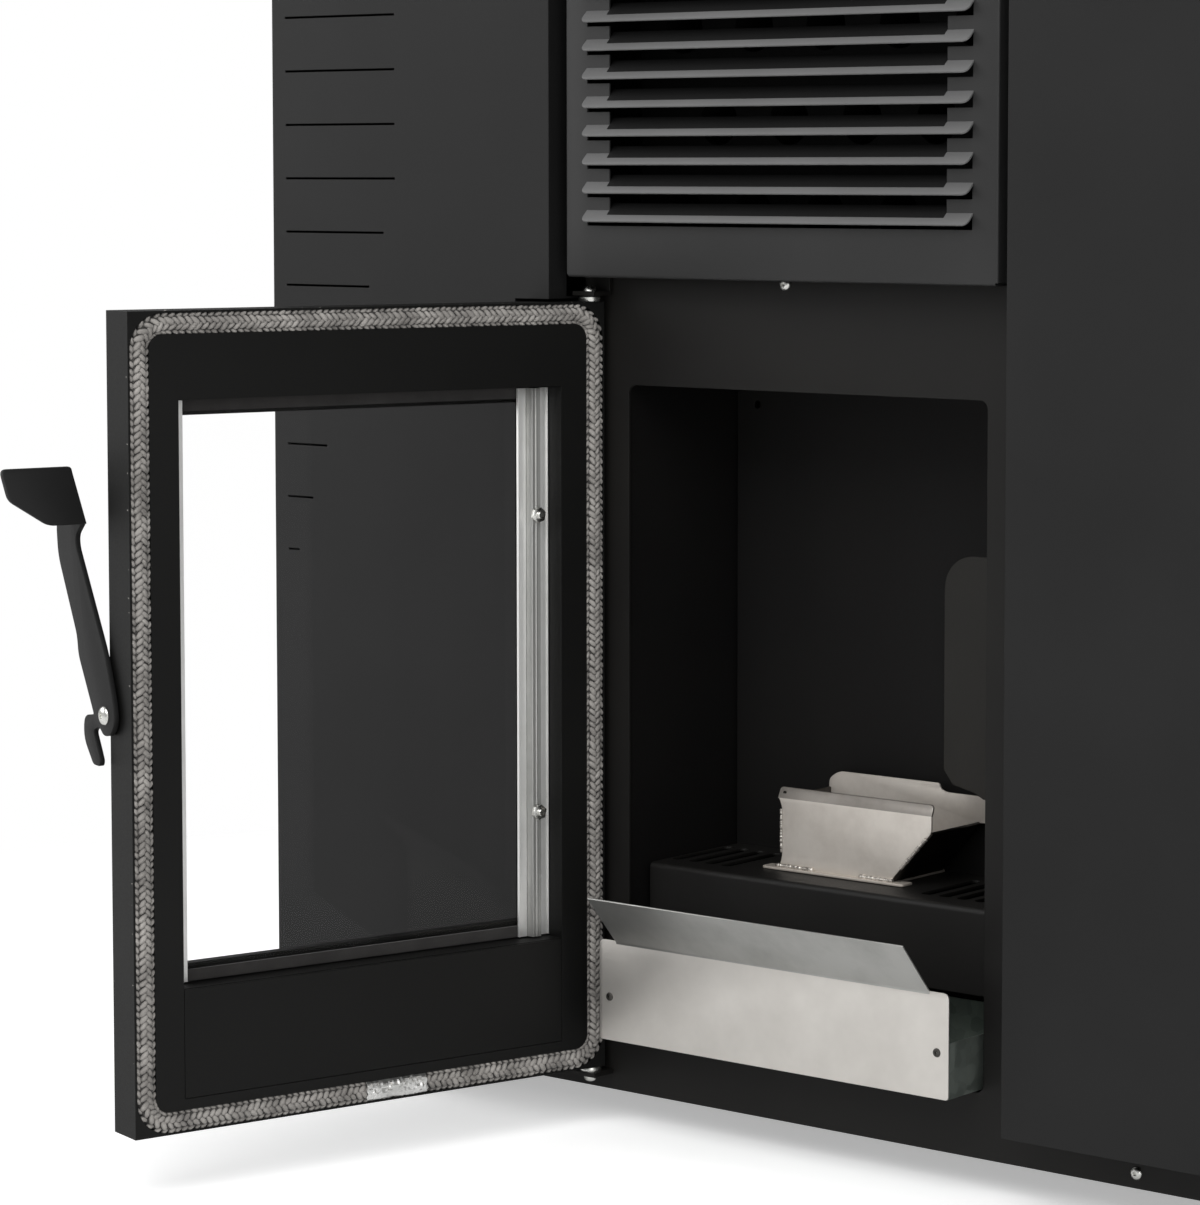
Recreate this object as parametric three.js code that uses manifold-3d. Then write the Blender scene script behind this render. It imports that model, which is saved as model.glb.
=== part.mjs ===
// Pellet stove with a louvred warm-air grille, an open glazed door and a pulled-out ash drawer.
// Millimetres, +Z up, X to the right, Y from the front into the stove. The floor is z = 0.
// The plane Y = 0 of the drawing is the face of the grille panel; the whole group is centred last.
import * as THREE from 'three';
import { mergeVertices } from 'three/addons/utils/BufferGeometryUtils.js';
import Module from 'manifold-3d';

const wasm = await Module();
wasm.setup();

// ---------------------------------------------------------------- driving dimensions
const SHEET = 1.5;              // casing and panel sheet
const PLATE = 2;                // firebox and front plate steel
const GAP = 0.4;                // clearance left between neighbouring pieces
const WIDTH = 944;              // outside of the casings
const HEIGHT = 1080;            // floor to top cover
const BACK_Y = 272;             // inside of the rear cover
const CASING_Y = -5.5;          // front of the side casings
const CASING_EDGE = 197;        // inner edge of the side casings
const CASING_BOTTOM = 53.5;
const CASING_TOP = HEIGHT - 24;
const FOOT_HEIGHT = 25;
const FRONT_Y = 34;             // face of the front plate
const PLATE_HALF = 196;         // half width of the plate beside the door
const PLATE_TOP = 640;
const OPEN_HALF = 155.5;        // half width of the firebox opening
const OPEN_BOTTOM = 70;
const OPEN_TOP = 539;
const LINER_Y = 160;
const FIREBOX_BACK = 190;
const FIREBOX_TOP = 606;
const GRILLE_HALF = 185.8;
const GRILLE_BOTTOM = 616.4;
const GRILLE_TOP = CASING_TOP - GAP;
const DISPLAY_Z = GRILLE_TOP - 64.1;
const LOUVRE_PITCH = 20;
const LOUVRE_FIRST = 656.5;     // underside of the lowest louvre
const LOUVRE_CLEAR = 54;        // from the highest louvre's place to the display
const LOUVRE_COUNT = Math.floor((DISPLAY_Z - LOUVRE_CLEAR - LOUVRE_FIRST) / LOUVRE_PITCH);
const LOUVRE_HALF = 166;
const LOUVRE_OUT = 8;
const LOUVRE_RISE = 7.5;         // height of the hood's slope
const LOUVRE_IN = 4;            // how far the slat's upper part leans in
const LOUVRE_LIFT = 5;
const SLOT_HALF = 145;
const SLOT_PITCH = 40;          // thin slots in the side casings
const SLOT_FIRST = 406;
const SLOT_CLEAR = 30;          // from the highest slot to the casing's top
const SLOT_COUNT = 1 + Math.floor((CASING_TOP - SLOT_CLEAR - SLOT_FIRST) / SLOT_PITCH);
const TUBE_RADIUS = 19;         // warm-air tubes of the heat exchanger
const TUBE_ROW = 65.2;
const TUBE_PITCH = 63;
const EXCHANGER_Y = 60;
const EXCHANGER_TOP = 840;
const TRAY_Y = 55.3;            // burn pot tray
const TRAY_TOP = 191;
const TRAY_BOTTOM = 131;
const TRAY_HALF = 153.6;
const POT_FRONT = 91;
const POT_BACK = 150;
const POT_TOP = 250;
const DRAWER_OUT = -3;          // face of the ash drawer as drawn
const DRAWER_HALF = 152.5;
const DRAWER_BOTTOM = 71.5;
const DRAWER_TOP = 144;
const DRAWER_DEPTH = 126;
const LIP_HALF = 137;
const LIP_REACH = 31.5;
const LIP_TOP = 179;
const DOOR_LEFT = -190.6;        // door edges when closed
const DOOR_WIDTH = 379.6;
const DOOR_BOTTOM = 42.8;
const DOOR_TOP = 598.4;
const DOOR_BACK = 29.5;         // inner face when closed
const DOOR_THICK = 33.5;
const DOOR_ANGLE = 105.8;       // how far open it is drawn
const HINGE_X = DOOR_LEFT + 8;
const HINGE_Y = 22.5;
const ROPE_WIDTH = 13.4;
const ROPE_RIM = 1.8;
const RECESS_INSET = 37.3;      // glass recess from both door edges
const RECESS_BOTTOM = 140.7;
const RECESS_TOP = 538.8;
const GLASS_BACK = 8;           // inner face of the glass when closed
const GLASS_THICK = 4;
const CLAMP_BACK = 17.5;        // crown of the glass clamps when closed
const CLAMP_WIDTH = 25.4;
const FREE_CLAMP_WIDTH = 11.6;
const LEVER_BOLT_V = 29;        // bolt of the handle, from the inner face towards the room
const LEVER_BOLT_Z = 327;
const LEVER_GAP = 1.2;          // from the door edge to the lever plate
const LEVER_THICK = 4;
const LOWER_PANEL_LOW = 65.8;
const NUT_Z = [232.7, 446.8];    // nuts on each glass clamp
const FOIL_LEFT = DOOR_LEFT + 152.7;
const FOIL_LENGTH = 48.7;
const PLATE_LEFT = DOOR_LEFT - 0.4; // the plate stops short of the door's hinge edge
const POCKET_EDGE = 229;        // hinge pocket beside the door
const POCKET_BACK = 42;
const AUGER_Y = 140;
const AUGER_RADIUS = 30;
const AUGER_LOW_X = WIDTH / 2 - 87;
const AUGER_TOP_GAP = 52.72;    // from the opening's edge to the auger's upper end
const AUGER_LENGTH = (AUGER_LOW_X - OPEN_HALF - AUGER_TOP_GAP) * Math.SQRT2;
const AUGER_LOW_Z = 330;
const CHUTE_RADIUS = 18;
const FAN_X = -60;
const FAN_Z = 330;
const FAN_RADIUS = 72;
const FLUE_X = 95;
const FLUE_RADIUS = 40;
const FLUE_END = 322;

// ---------------------------------------------------------------- derived dimensions
const HALF = WIDTH / 2;
const DOOR_RIGHT = DOOR_LEFT + DOOR_WIDTH;
const DOOR_FRONT = DOOR_BACK - DOOR_THICK;
const FIREBOX_HALF = OPEN_HALF + 2.5;
const PLINTH_TOP = CASING_BOTTOM + 6.5;
const RECESS_LEFT = DOOR_LEFT + RECESS_INSET;
const RECESS_RIGHT = DOOR_RIGHT - RECESS_INSET;

// ---------------------------------------------------------------- materials
function paint(name, color, metalness, roughness) {
  return new THREE.MeshStandardMaterial({ name, color, metalness, roughness });
}
const casingPaint = paint('casing_paint', 0x2b2b2b, 0.2, 0.55);
const grillePaint = paint('grille_paint', 0x3c3c3c, 0.2, 0.5);
const stovePaint = paint('stove_paint', 0x1a1a19, 0.1, 0.7);
const stainless = paint('stainless', 0xb5b1ac, 1, 0.35);
const galvanised = paint('galvanised', 0xc4c4c1, 1, 0.45);
const zinc = paint('zinc', 0xd0d0cc, 1, 0.3);
const ropeFibre = paint('rope_fibre', 0x7c7774, 0, 0.95);
const glassPane = paint('glass_pane', 0x9fa5a3, 0, 0.05);
const gasketTape = paint('gasket_tape', 0x3a3836, 0, 0.9);
const foil = paint('foil', 0xc8c8c8, 1, 0.35);
const blackPlastic = paint('black_plastic', 0x151515, 0, 0.5);
const displayGloss = paint('display_gloss', 0x08090a, 0, 0.1);
const rubber = paint('rubber', 0x111111, 0, 0.9);
const aluminium = paint('aluminium', 0xa9abad, 1, 0.4);

// ---------------------------------------------------------------- helpers
const group = new THREE.Group();
group.name = 'pellet_stove';

function toSolid(geometry) {
  const bare = geometry.clone();
  bare.deleteAttribute('normal');
  bare.deleteAttribute('uv');
  const merged = mergeVertices(bare, 1e-3);
  return new wasm.Manifold(new wasm.Mesh({
    numProp: 3,
    vertProperties: new Float32Array(merged.attributes.position.array),
    triVerts: new Uint32Array(merged.index.array),
  }));
}

function toGeometry(solid) {
  const mesh = solid.getMesh();
  const geometry = new THREE.BufferGeometry();
  const points = new Float32Array(mesh.vertProperties);
  geometry.setAttribute('position', new THREE.BufferAttribute(points, 3));
  geometry.setIndex(new THREE.BufferAttribute(new Uint32Array(mesh.triVerts), 1));
  return geometry;
}

function unite(...solids) {
  return solids.reduce((whole, next) => whole.add(next));
}

function cut(solid, ...tools) {
  return tools.reduce((rest, tool) => rest.subtract(tool), solid);
}

function block(xa, xb, ya, yb, za, zb) {
  const size = [Math.abs(xb - xa), Math.abs(yb - ya), Math.abs(zb - za)];
  const geometry = new THREE.BoxGeometry(...size);
  geometry.translate((xa + xb) / 2, (ya + yb) / 2, (za + zb) / 2);
  return toSolid(geometry);
}

// A box whose lower and upper rectangles differ: [x0, x1, y0, y1, z].
function taper(low, high) {
  const geometry = new THREE.BoxGeometry(1, 1, 1);
  const place = geometry.attributes.position;
  for (let i = 0; i < place.count; i += 1) {
    const rect = place.getZ(i) < 0 ? low : high;
    const x = place.getX(i) < 0 ? rect[0] : rect[1];
    const y = place.getY(i) < 0 ? rect[2] : rect[3];
    place.setXYZ(i, x, y, rect[4]);
  }
  return toSolid(geometry);
}

function polygon(points) {
  const corners = points.map(([a, b]) => new THREE.Vector2(a, b));
  return new THREE.Shape(THREE.ShapeUtils.isClockWise(corners) ? corners.reverse() : corners);
}

function roundRect(a0, a1, b0, b1, radius) {
  const shape = new THREE.Shape();
  shape.moveTo(a0 + radius, b0);
  shape.lineTo(a1 - radius, b0);
  shape.absarc(a1 - radius, b0 + radius, radius, -Math.PI / 2, 0);
  shape.lineTo(a1, b1 - radius);
  shape.absarc(a1 - radius, b1 - radius, radius, 0, Math.PI / 2);
  shape.lineTo(a0 + radius, b1);
  shape.absarc(a0 + radius, b1 - radius, radius, Math.PI / 2, Math.PI);
  shape.lineTo(a0, b0 + radius);
  shape.absarc(a0 + radius, b0 + radius, radius, Math.PI, Math.PI * 1.5);
  return shape;
}

function extruded(shape, length, steps) {
  return new THREE.ExtrudeGeometry(shape, {
    depth: length, bevelEnabled: false, curveSegments: steps,
  });
}

// A shape drawn in (y, z) and run along X.
function alongX(shape, from, to, steps = 4) {
  const geometry = extruded(shape, to - from, steps);
  const turn = new THREE.Matrix4();
  turn.makeBasis(
    new THREE.Vector3(0, 1, 0), new THREE.Vector3(0, 0, 1), new THREE.Vector3(1, 0, 0));
  geometry.applyMatrix4(turn);
  geometry.translate(from, 0, 0);
  return toSolid(geometry);
}

// A shape drawn in (x, z) and run along Y.
function alongY(shape, from, to, steps = 4) {
  const geometry = extruded(shape, to - from, steps);
  const turn = new THREE.Matrix4();
  turn.makeBasis(
    new THREE.Vector3(1, 0, 0), new THREE.Vector3(0, 0, 1), new THREE.Vector3(0, -1, 0));
  geometry.applyMatrix4(turn);
  geometry.translate(0, to, 0);
  return toSolid(geometry);
}

// A shape drawn in (x, y) and run along Z.
function alongZ(shape, from, to, steps = 4) {
  const geometry = extruded(shape, to - from, steps);
  geometry.translate(0, 0, from);
  return toSolid(geometry);
}

const TURNS = {
  x: new THREE.Matrix4().makeRotationZ(-Math.PI / 2),
  y: new THREE.Matrix4(),
  z: new THREE.Matrix4().makeRotationX(Math.PI / 2),
};

// A round bar along one axis between two values of that axis.
function rod(axis, radius, at, from, to, sides = 20) {
  const geometry = new THREE.CylinderGeometry(radius, radius, to - from, sides);
  geometry.applyMatrix4(TURNS[axis]);
  const middle = (from + to) / 2;
  const spot = { x: [middle, at[0], at[1]], y: [at[0], middle, at[1]], z: [at[0], at[1], middle] };
  geometry.translate(...spot[axis]);
  return toSolid(geometry);
}

// A turned piece along Z, Y or X from [radius, height] pairs that start and end on the axis.
function turned(axis, profile, at, sides = 20) {
  const points = profile.map(([r, h]) => new THREE.Vector2(r, h));
  const geometry = new THREE.LatheGeometry(points, sides);
  geometry.applyMatrix4(TURNS[axis]);
  geometry.translate(...at);
  return toSolid(geometry);
}

// A round bar between two points of space.
function bar(radius, start, end, sides = 20) {
  const a = new THREE.Vector3(...start);
  const b = new THREE.Vector3(...end);
  const geometry = new THREE.CylinderGeometry(radius, radius, a.distanceTo(b), sides);
  const aim = new THREE.Quaternion();
  aim.setFromUnitVectors(new THREE.Vector3(0, 1, 0), b.clone().sub(a).normalize());
  geometry.applyQuaternion(aim);
  geometry.translate((a.x + b.x) / 2, (a.y + b.y) / 2, (a.z + b.z) / 2);
  return toSolid(geometry);
}

function addMesh(name, solid, material, turn = null) {
  const geometry = toGeometry(solid);
  if (turn) {
    geometry.applyMatrix4(turn);
  }
  const mesh = new THREE.Mesh(geometry, material.clone());
  mesh.name = name;
  group.add(mesh);
  return mesh;
}

// ---------------------------------------------------------------- base
const baseFront = FRONT_Y + PLATE + GAP;
const baseBack = BACK_Y - SHEET - GAP;
const baseHalf = HALF - SHEET - GAP - 0.1;
addMesh('base_tray', cut(
  block(-baseHalf, baseHalf, baseFront, baseBack, FOOT_HEIGHT, CASING_BOTTOM - GAP),
  block(-baseHalf + PLATE, baseHalf - PLATE, baseFront + PLATE, baseBack - PLATE,
    FOOT_HEIGHT + PLATE, PLINTH_TOP),
  block(-POCKET_EDGE - 1, PLATE_LEFT, baseFront - 1, POCKET_BACK, DOOR_BOTTOM - 3, PLINTH_TOP),
), stovePaint);

const footTop = FOOT_HEIGHT - GAP;
const footProfile = [
  [0, 0], [17, 0], [18, 1.5], [18, 6], [15, 8], [6, 9], [6, footTop - 5], [11, footTop - 5],
  [11, footTop], [0, footTop],
];
const footX = HALF - 52;
const feet = [
  ['foot_front_left', -footX, 80],
  ['foot_front_right', footX, 80],
  ['foot_rear_left', -footX, 232],
  ['foot_rear_right', footX, 232],
];
for (const [name, x, y] of feet) {
  addMesh(name, toSolid(new THREE.LatheGeometry(
    footProfile.map(([r, h]) => new THREE.Vector2(r, h)), 16)
    .rotateX(Math.PI / 2).translate(x, y, 0)), rubber);
}

// ---------------------------------------------------------------- front plate
const frontShape = polygon([
  [-HALF + 2, FOOT_HEIGHT], [HALF - 2, FOOT_HEIGHT], [HALF - 2, PLINTH_TOP],
  [PLATE_HALF, PLINTH_TOP], [PLATE_HALF, PLATE_TOP], [-PLATE_HALF, PLATE_TOP],
  [-PLATE_HALF, DOOR_TOP + 3], [PLATE_LEFT, DOOR_TOP + 3], [PLATE_LEFT, DOOR_BOTTOM - 3], [-POCKET_EDGE - 3, DOOR_BOTTOM - 3],
  [-POCKET_EDGE - 3, PLINTH_TOP], [-HALF + 2, PLINTH_TOP],
]);
const keeperX = [DOOR_RIGHT + 1, DOOR_RIGHT + 7];
const keeperY = DOOR_BACK - 15;
const keeperZ = LEVER_BOLT_Z - 16;
const keeper = unite(
  block(...keeperX, keeperY + 4, FRONT_Y + 0.5, keeperZ - 7, keeperZ + 7),
  rod('x', 4.4, [keeperY, keeperZ], ...keeperX, 16),
  block(...keeperX, keeperY, keeperY + 5, keeperZ - 3.5, keeperZ + 3.5),
);
addMesh('front_plate', unite(cut(
  alongY(frontShape, FRONT_Y, FRONT_Y + PLATE),
  alongY(roundRect(-OPEN_HALF, OPEN_HALF, OPEN_BOTTOM, OPEN_TOP, 6),
    FRONT_Y - 1, FRONT_Y + PLATE + 1),
), keeper), stovePaint);

function buttonHead(name, x, y, z, radius, height) {
  const head = turned('y', [[0, -0.4 * height], [radius * 0.55, -0.4 * height],
    [radius, 0.45 * height], [radius, height], [0, height]], [x, y - height, z], 16);
  const socket = rod('y', radius * 0.42, [x, z], y - height - 2, y - height * 0.55, 6);
  addMesh(name, cut(head, socket), zinc);
}
buttonHead('base_screw', 278, FRONT_Y - GAP, 35.4, 4.5, 2.6);
buttonHead('grille_screw', -14.7, FRONT_Y - GAP, 611.5, 4.8, 3);

// ---------------------------------------------------------------- side casings
function slotLength(z) {
  return Math.min(112, 11.6 + 0.37 * (z - SLOT_FIRST));
}

// The folded sheet of one casing, drawn in plan; the pocket takes the hinge side of the door.
function casingPlan(side, pocket) {
  const y0 = CASING_Y;
  const outer = HALF - SHEET;
  const plan = [
    [HALF, y0], [HALF, BACK_Y], [HALF - 18, BACK_Y], [HALF - 18, BACK_Y - SHEET],
    [outer, BACK_Y - SHEET], [outer, y0 + SHEET],
  ];
  if (pocket) {
    plan.push(
      [POCKET_EDGE + SHEET, y0 + SHEET], [POCKET_EDGE + SHEET, POCKET_BACK + SHEET],
      [CASING_EDGE + 2, POCKET_BACK + SHEET], [CASING_EDGE + 2, POCKET_BACK],
      [POCKET_EDGE, POCKET_BACK], [POCKET_EDGE, y0],
    );
  } else {
    plan.push(
      [CASING_EDGE + SHEET, y0 + SHEET], [CASING_EDGE + SHEET, y0 + 19.5],
      [CASING_EDGE, y0 + 19.5], [CASING_EDGE, y0],
    );
  }
  return polygon(plan.map(([x, y]) => [side * x, y]));
}

function casing(side, pocket) {
  const pocketTop = DOOR_TOP + 2;
  const low = pocket ? pocketTop : CASING_BOTTOM;
  let body = alongZ(casingPlan(side, false), low, CASING_TOP);
  if (pocket) {
    const lid = polygon([
      [POCKET_EDGE + SHEET, CASING_Y], [POCKET_EDGE + SHEET, POCKET_BACK + SHEET],
      [CASING_EDGE, POCKET_BACK + SHEET], [CASING_EDGE, CASING_Y],
    ].map(([x, y]) => [side * x, y]));
    body = unite(
      body,
      alongZ(casingPlan(side, true), CASING_BOTTOM, pocketTop + SHEET),
      alongZ(lid, pocketTop, pocketTop + SHEET),
    );
  }
  const slots = Array.from({ length: SLOT_COUNT }, (_, k) => {
    const z = SLOT_FIRST + SLOT_PITCH * k;
    const start = side * (HALF - 13.5);
    return block(start, start - side * slotLength(z), CASING_Y - 1, CASING_Y + 5, z - 0.8, z + 0.8);
  });
  return cut(body, ...slots);
}
addMesh('casing_left', casing(-1, true), casingPaint);
addMesh('casing_right', casing(1, false), casingPaint);

// ---------------------------------------------------------------- rear cover and top cover
const hopperX1 = HALF - 20;
const hopperX0 = hopperX1 - 238;
const hopperY0 = 44;
const hopperY1 = 246;
const inletX = -HALF + 102;
const switchX = -HALF + 84;
const boardX = -HALF + 107;
const rearVents = Array.from({ length: 7 }, (_, k) => block(
  -150, 150, BACK_Y - 1, BACK_Y + 5, 660 + 24 * k, 668 + 24 * k));
addMesh('rear_cover', cut(
  block(-HALF + 2, HALF - 2, BACK_Y + GAP, BACK_Y + GAP + SHEET, CASING_BOTTOM, CASING_TOP),
  block(FLUE_X - FLUE_RADIUS - 3, FLUE_X + FLUE_RADIUS + 3, BACK_Y - 1, BACK_Y + 5,
    FAN_Z - FLUE_RADIUS - 3, FAN_Z + FLUE_RADIUS + 3),
  block(-158, -102, BACK_Y - 1, BACK_Y + 5, 122, 178),
  block(inletX - 30, inletX + 30, BACK_Y - 1, BACK_Y + 5, 96, 128),
  block(switchX - 12, switchX + 12, BACK_Y - 1, BACK_Y + 5, 140, 170),
  ...rearVents,
), casingPaint);

const coverBack = BACK_Y + GAP + SHEET;
addMesh('top_cover', cut(
  block(-HALF, HALF, CASING_Y, coverBack, CASING_TOP + GAP, HEIGHT),
  block(-HALF + PLATE, HALF - PLATE, CASING_Y + PLATE, coverBack - PLATE,
    CASING_TOP - 1, HEIGHT - 3),
  block(hopperX0 - 2, hopperX1 + 2, hopperY0 - 2, hopperY1 + 2, CASING_TOP, HEIGHT + 1),
), casingPaint);

addMesh('hopper_lid', cut(unite(
  block(hopperX0, hopperX1, hopperY0, hopperY1, HEIGHT - 3, HEIGHT),
  cut(block(hopperX0 + 6, hopperX1 - 6, hopperY0 + 6, hopperY1 - 12, HEIGHT - 12, HEIGHT - 2.5),
    block(hopperX0 + 8, hopperX1 - 8, hopperY0 + 8, hopperY1 - 14, HEIGHT - 14, HEIGHT - 3)),
), alongZ(roundRect(hopperX0 + 89, hopperX0 + 149, hopperY0 - 8, hopperY0 + 5, 4), HEIGHT - 4, HEIGHT + 1)), casingPaint);

// ---------------------------------------------------------------- grille panel
// Each louvre is a slat: its lower part leans out as a hood with closed ends, its upper part leans in.
function louvre(z) {
  const root = z + LOUVRE_RISE;
  const hood = polygon([
    [1, root], [0, root], [-LOUVRE_OUT, z + 1], [-LOUVRE_OUT, z], [1, z],
  ]);
  const hollow = polygon([
    [2, root - 1.6], [0.2, root - 1.9], [-LOUVRE_OUT + 1.7, z + 0.5], [-LOUVRE_OUT + 1.7, z - 2],
    [2, z - 2],
  ]);
  const inward = polygon([
    [0, root], [0.1, root - 1.8], [1.4, root - 1.6], [LOUVRE_IN + 1.4, root + LOUVRE_LIFT],
    [LOUVRE_IN, root + LOUVRE_LIFT],
  ]);
  return unite(
    cut(
      alongX(hood, -LOUVRE_HALF, LOUVRE_HALF),
      alongX(hollow, -LOUVRE_HALF + 2, LOUVRE_HALF - 2),
    ),
    alongX(inward, -SLOT_HALF + 1, SLOT_HALF - 1),
    block(-SLOT_HALF - 1, SLOT_HALF + 1, 0.1, SHEET, root - 1.8, root - 0.1),
  );
}
const louvreZ = Array.from({ length: LOUVRE_COUNT }, (_, k) => LOUVRE_FIRST + LOUVRE_PITCH * k);
const flapLength = Math.hypot(LOUVRE_OUT, LOUVRE_RISE);
const slotDrop = (k) => (k === 0 ? flapLength : LOUVRE_PITCH);
const grilleSlots = louvreZ.map((z, k) => alongY(
  roundRect(-SLOT_HALF, SLOT_HALF, z + LOUVRE_RISE - slotDrop(k), z + LOUVRE_RISE - 1.6, 2),
  -1, SHEET + 1, 2));
const grillePlan = polygon([
  [-GRILLE_HALF, 20], [-GRILLE_HALF, 0], [GRILLE_HALF, 0], [GRILLE_HALF, 20],
  [GRILLE_HALF - SHEET, 20], [GRILLE_HALF - SHEET, SHEET],
  [-GRILLE_HALF + SHEET, SHEET], [-GRILLE_HALF + SHEET, 20],
]);
const grilleSheet = unite(
  alongZ(grillePlan, GRILLE_BOTTOM, GRILLE_TOP),
  block(-GRILLE_HALF + 1, GRILLE_HALF - 1, 1, 20, GRILLE_BOTTOM, GRILLE_BOTTOM + SHEET),
);
const displayZ = DISPLAY_Z;
const buttonX = [-52, 52];
let grille = cut(grilleSheet, unite(...grilleSlots));
grille = unite(grille, ...louvreZ.map((z) => louvre(z)));
grille = cut(
  grille,
  alongY(roundRect(-34.4, 34.4, displayZ - 17.4, displayZ + 17.4, 3.4), -2, SHEET + 1, 3),
  ...buttonX.map((x) => rod('y', 7.4, [x, displayZ], -2, SHEET + 1, 20)),
);
addMesh('grille_panel', grille, grillePaint);

addMesh('control_display', unite(
  alongY(roundRect(-34, 34, displayZ - 17, displayZ + 17, 3), -0.8, SHEET + GAP + 1, 3),
  alongY(roundRect(-66, 66, displayZ - 22, displayZ + 22, 3), SHEET + GAP + 4.6, SHEET + 22, 3),
  block(-28, 28, 1, SHEET + 6, displayZ - 12, displayZ + 12),
), displayGloss);
buttonX.forEach((x, k) => {
  const side = k === 0 ? 'left' : 'right';
  addMesh(`control_button_${side}`, turned('y', [
    [0, 0], [6.2, 0], [7, 0.8], [7, 3.9], [0, 3.9],
  ], [x, -1.6, displayZ], 20), blackPlastic);
});

// ---------------------------------------------------------------- firebox
const fireFront = FRONT_Y + PLATE + GAP;
const fireFloor = OPEN_BOTTOM + 0.4;
const outHalf = FIREBOX_HALF + PLATE;
const augerTop = [AUGER_LOW_X - AUGER_LENGTH * Math.SQRT1_2, AUGER_LOW_Z + AUGER_LENGTH * Math.SQRT1_2];
const chuteStart = [augerTop[0] + 22, augerTop[1] - 22 - AUGER_RADIUS * 1.4];
const chuteEnd = [FIREBOX_HALF - 10, chuteStart[1] - (chuteStart[0] - FIREBOX_HALF + 10) * 0.9];
const chuteLine = (radius, reach) => bar(
  radius,
  [chuteStart[0] + reach, AUGER_Y, chuteStart[1] + reach * 0.9],
  [chuteEnd[0] - reach, AUGER_Y, chuteEnd[1] - reach * 0.9],
);
const shell = unite(
  block(-outHalf, outHalf, fireFront, FIREBOX_BACK, fireFloor - PLATE, fireFloor),
  block(-outHalf, -FIREBOX_HALF, fireFront, FIREBOX_BACK, fireFloor - 1, FIREBOX_TOP),
  block(FIREBOX_HALF, outHalf, fireFront, FIREBOX_BACK, fireFloor - 1, FIREBOX_TOP),
  block(-outHalf, outHalf, FIREBOX_BACK - PLATE, FIREBOX_BACK, fireFloor - 1, FIREBOX_TOP),
  block(-outHalf, outHalf, fireFront, FIREBOX_BACK, FIREBOX_TOP - PLATE, FIREBOX_TOP),
  block(-outHalf, outHalf, fireFront, fireFront + PLATE, OPEN_TOP + 4, FIREBOX_TOP),
  block(-FIREBOX_HALF - 1, -TRAY_HALF + 3, 62, LINER_Y - 2, TRAY_TOP - 5, TRAY_TOP - 2 - GAP),
  block(TRAY_HALF - 3, FIREBOX_HALF + 1, 62, LINER_Y - 2, TRAY_TOP - 5, TRAY_TOP - 2 - GAP),
);
addMesh('firebox_shell', cut(
  shell,
  block(-140, 140, EXCHANGER_Y + 6, FIREBOX_BACK - 14, FIREBOX_TOP - 5, FIREBOX_TOP + 2),
  chuteLine(CHUTE_RADIUS + 0.5, 20),
  rod('y', 40, [FAN_X, FAN_Z], FIREBOX_BACK - 5, FIREBOX_BACK + 5, 24),
  rod('y', 7, [-11, 215], FIREBOX_BACK - 5, FIREBOX_BACK + 5, 16),
  rod('y', 24, [-130, 150], FIREBOX_BACK - 5, FIREBOX_BACK + 5, 20),
), stovePaint);

const linerLow = TRAY_BOTTOM + 1;
addMesh('firebox_back_liner', cut(
  unite(
    block(-OPEN_HALF, FIREBOX_HALF - GAP, LINER_Y, LINER_Y + PLATE, linerLow, 560),
    block(-OPEN_HALF, FIREBOX_HALF - GAP, LINER_Y, FIREBOX_BACK - PLATE - GAP,
      linerLow, linerLow + PLATE),
  ),
  rod('y', 8, [-11, 215], LINER_Y - 2, LINER_Y + 5, 16),
  rod('y', 3, [-137, 520], LINER_Y - 2, LINER_Y + 5, 12),
), stovePaint);

// ---------------------------------------------------------------- heat exchanger
const tubeSpots = [];
for (let row = 0; row < 3; row += 1) {
  const count = row === 1 ? 4 : 5;
  for (let k = 0; k < count; k += 1) {
    const x = (k - (count - 1) / 2) * TUBE_PITCH;
    tubeSpots.push([x, 661.5 + TUBE_ROW * row]);
  }
}
const exchangerBack = 184;
const exchangerHalf = 165;
const exchangerWalls = cut(
  block(-exchangerHalf, exchangerHalf, EXCHANGER_Y, exchangerBack, FIREBOX_TOP + GAP, EXCHANGER_TOP),
  block(-exchangerHalf + PLATE, exchangerHalf - PLATE, EXCHANGER_Y + PLATE, exchangerBack - PLATE,
    FIREBOX_TOP - 5, EXCHANGER_TOP - PLATE),
);
const tubes = tubeSpots.map((at) => rod(
  'y', TUBE_RADIUS, at, EXCHANGER_Y + 0.5, exchangerBack - 0.5, 16));
const bores = tubeSpots.map((at) => rod(
  'y', TUBE_RADIUS - 2, at, EXCHANGER_Y - 1, exchangerBack + 1, 16));
addMesh('heat_exchanger', cut(unite(exchangerWalls, ...tubes), unite(...bores)), stovePaint);

// ---------------------------------------------------------------- burn pot and its tray
const traySlots = [];
for (const x of [-147, -132, -117, -102, 76, 91, 106, 121, 136]) {
  traySlots.push(alongZ(roundRect(x - 4.6, x + 4.6, 76, 143, 4.5), TRAY_TOP - 5, TRAY_TOP + 2, 3));
}
const trayProfile = new THREE.Shape();
trayProfile.moveTo(TRAY_Y, TRAY_BOTTOM);
trayProfile.lineTo(TRAY_Y + PLATE, TRAY_BOTTOM);
trayProfile.lineTo(TRAY_Y + PLATE, TRAY_TOP - 4);
trayProfile.absarc(TRAY_Y + 4, TRAY_TOP - 4, 2, Math.PI, Math.PI / 2, true);
trayProfile.lineTo(LINER_Y - 1, TRAY_TOP - PLATE);
trayProfile.lineTo(LINER_Y - 1, TRAY_TOP);
trayProfile.lineTo(TRAY_Y + 4, TRAY_TOP);
trayProfile.absarc(TRAY_Y + 4, TRAY_TOP - 4, 4, Math.PI / 2, Math.PI, false);
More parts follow.
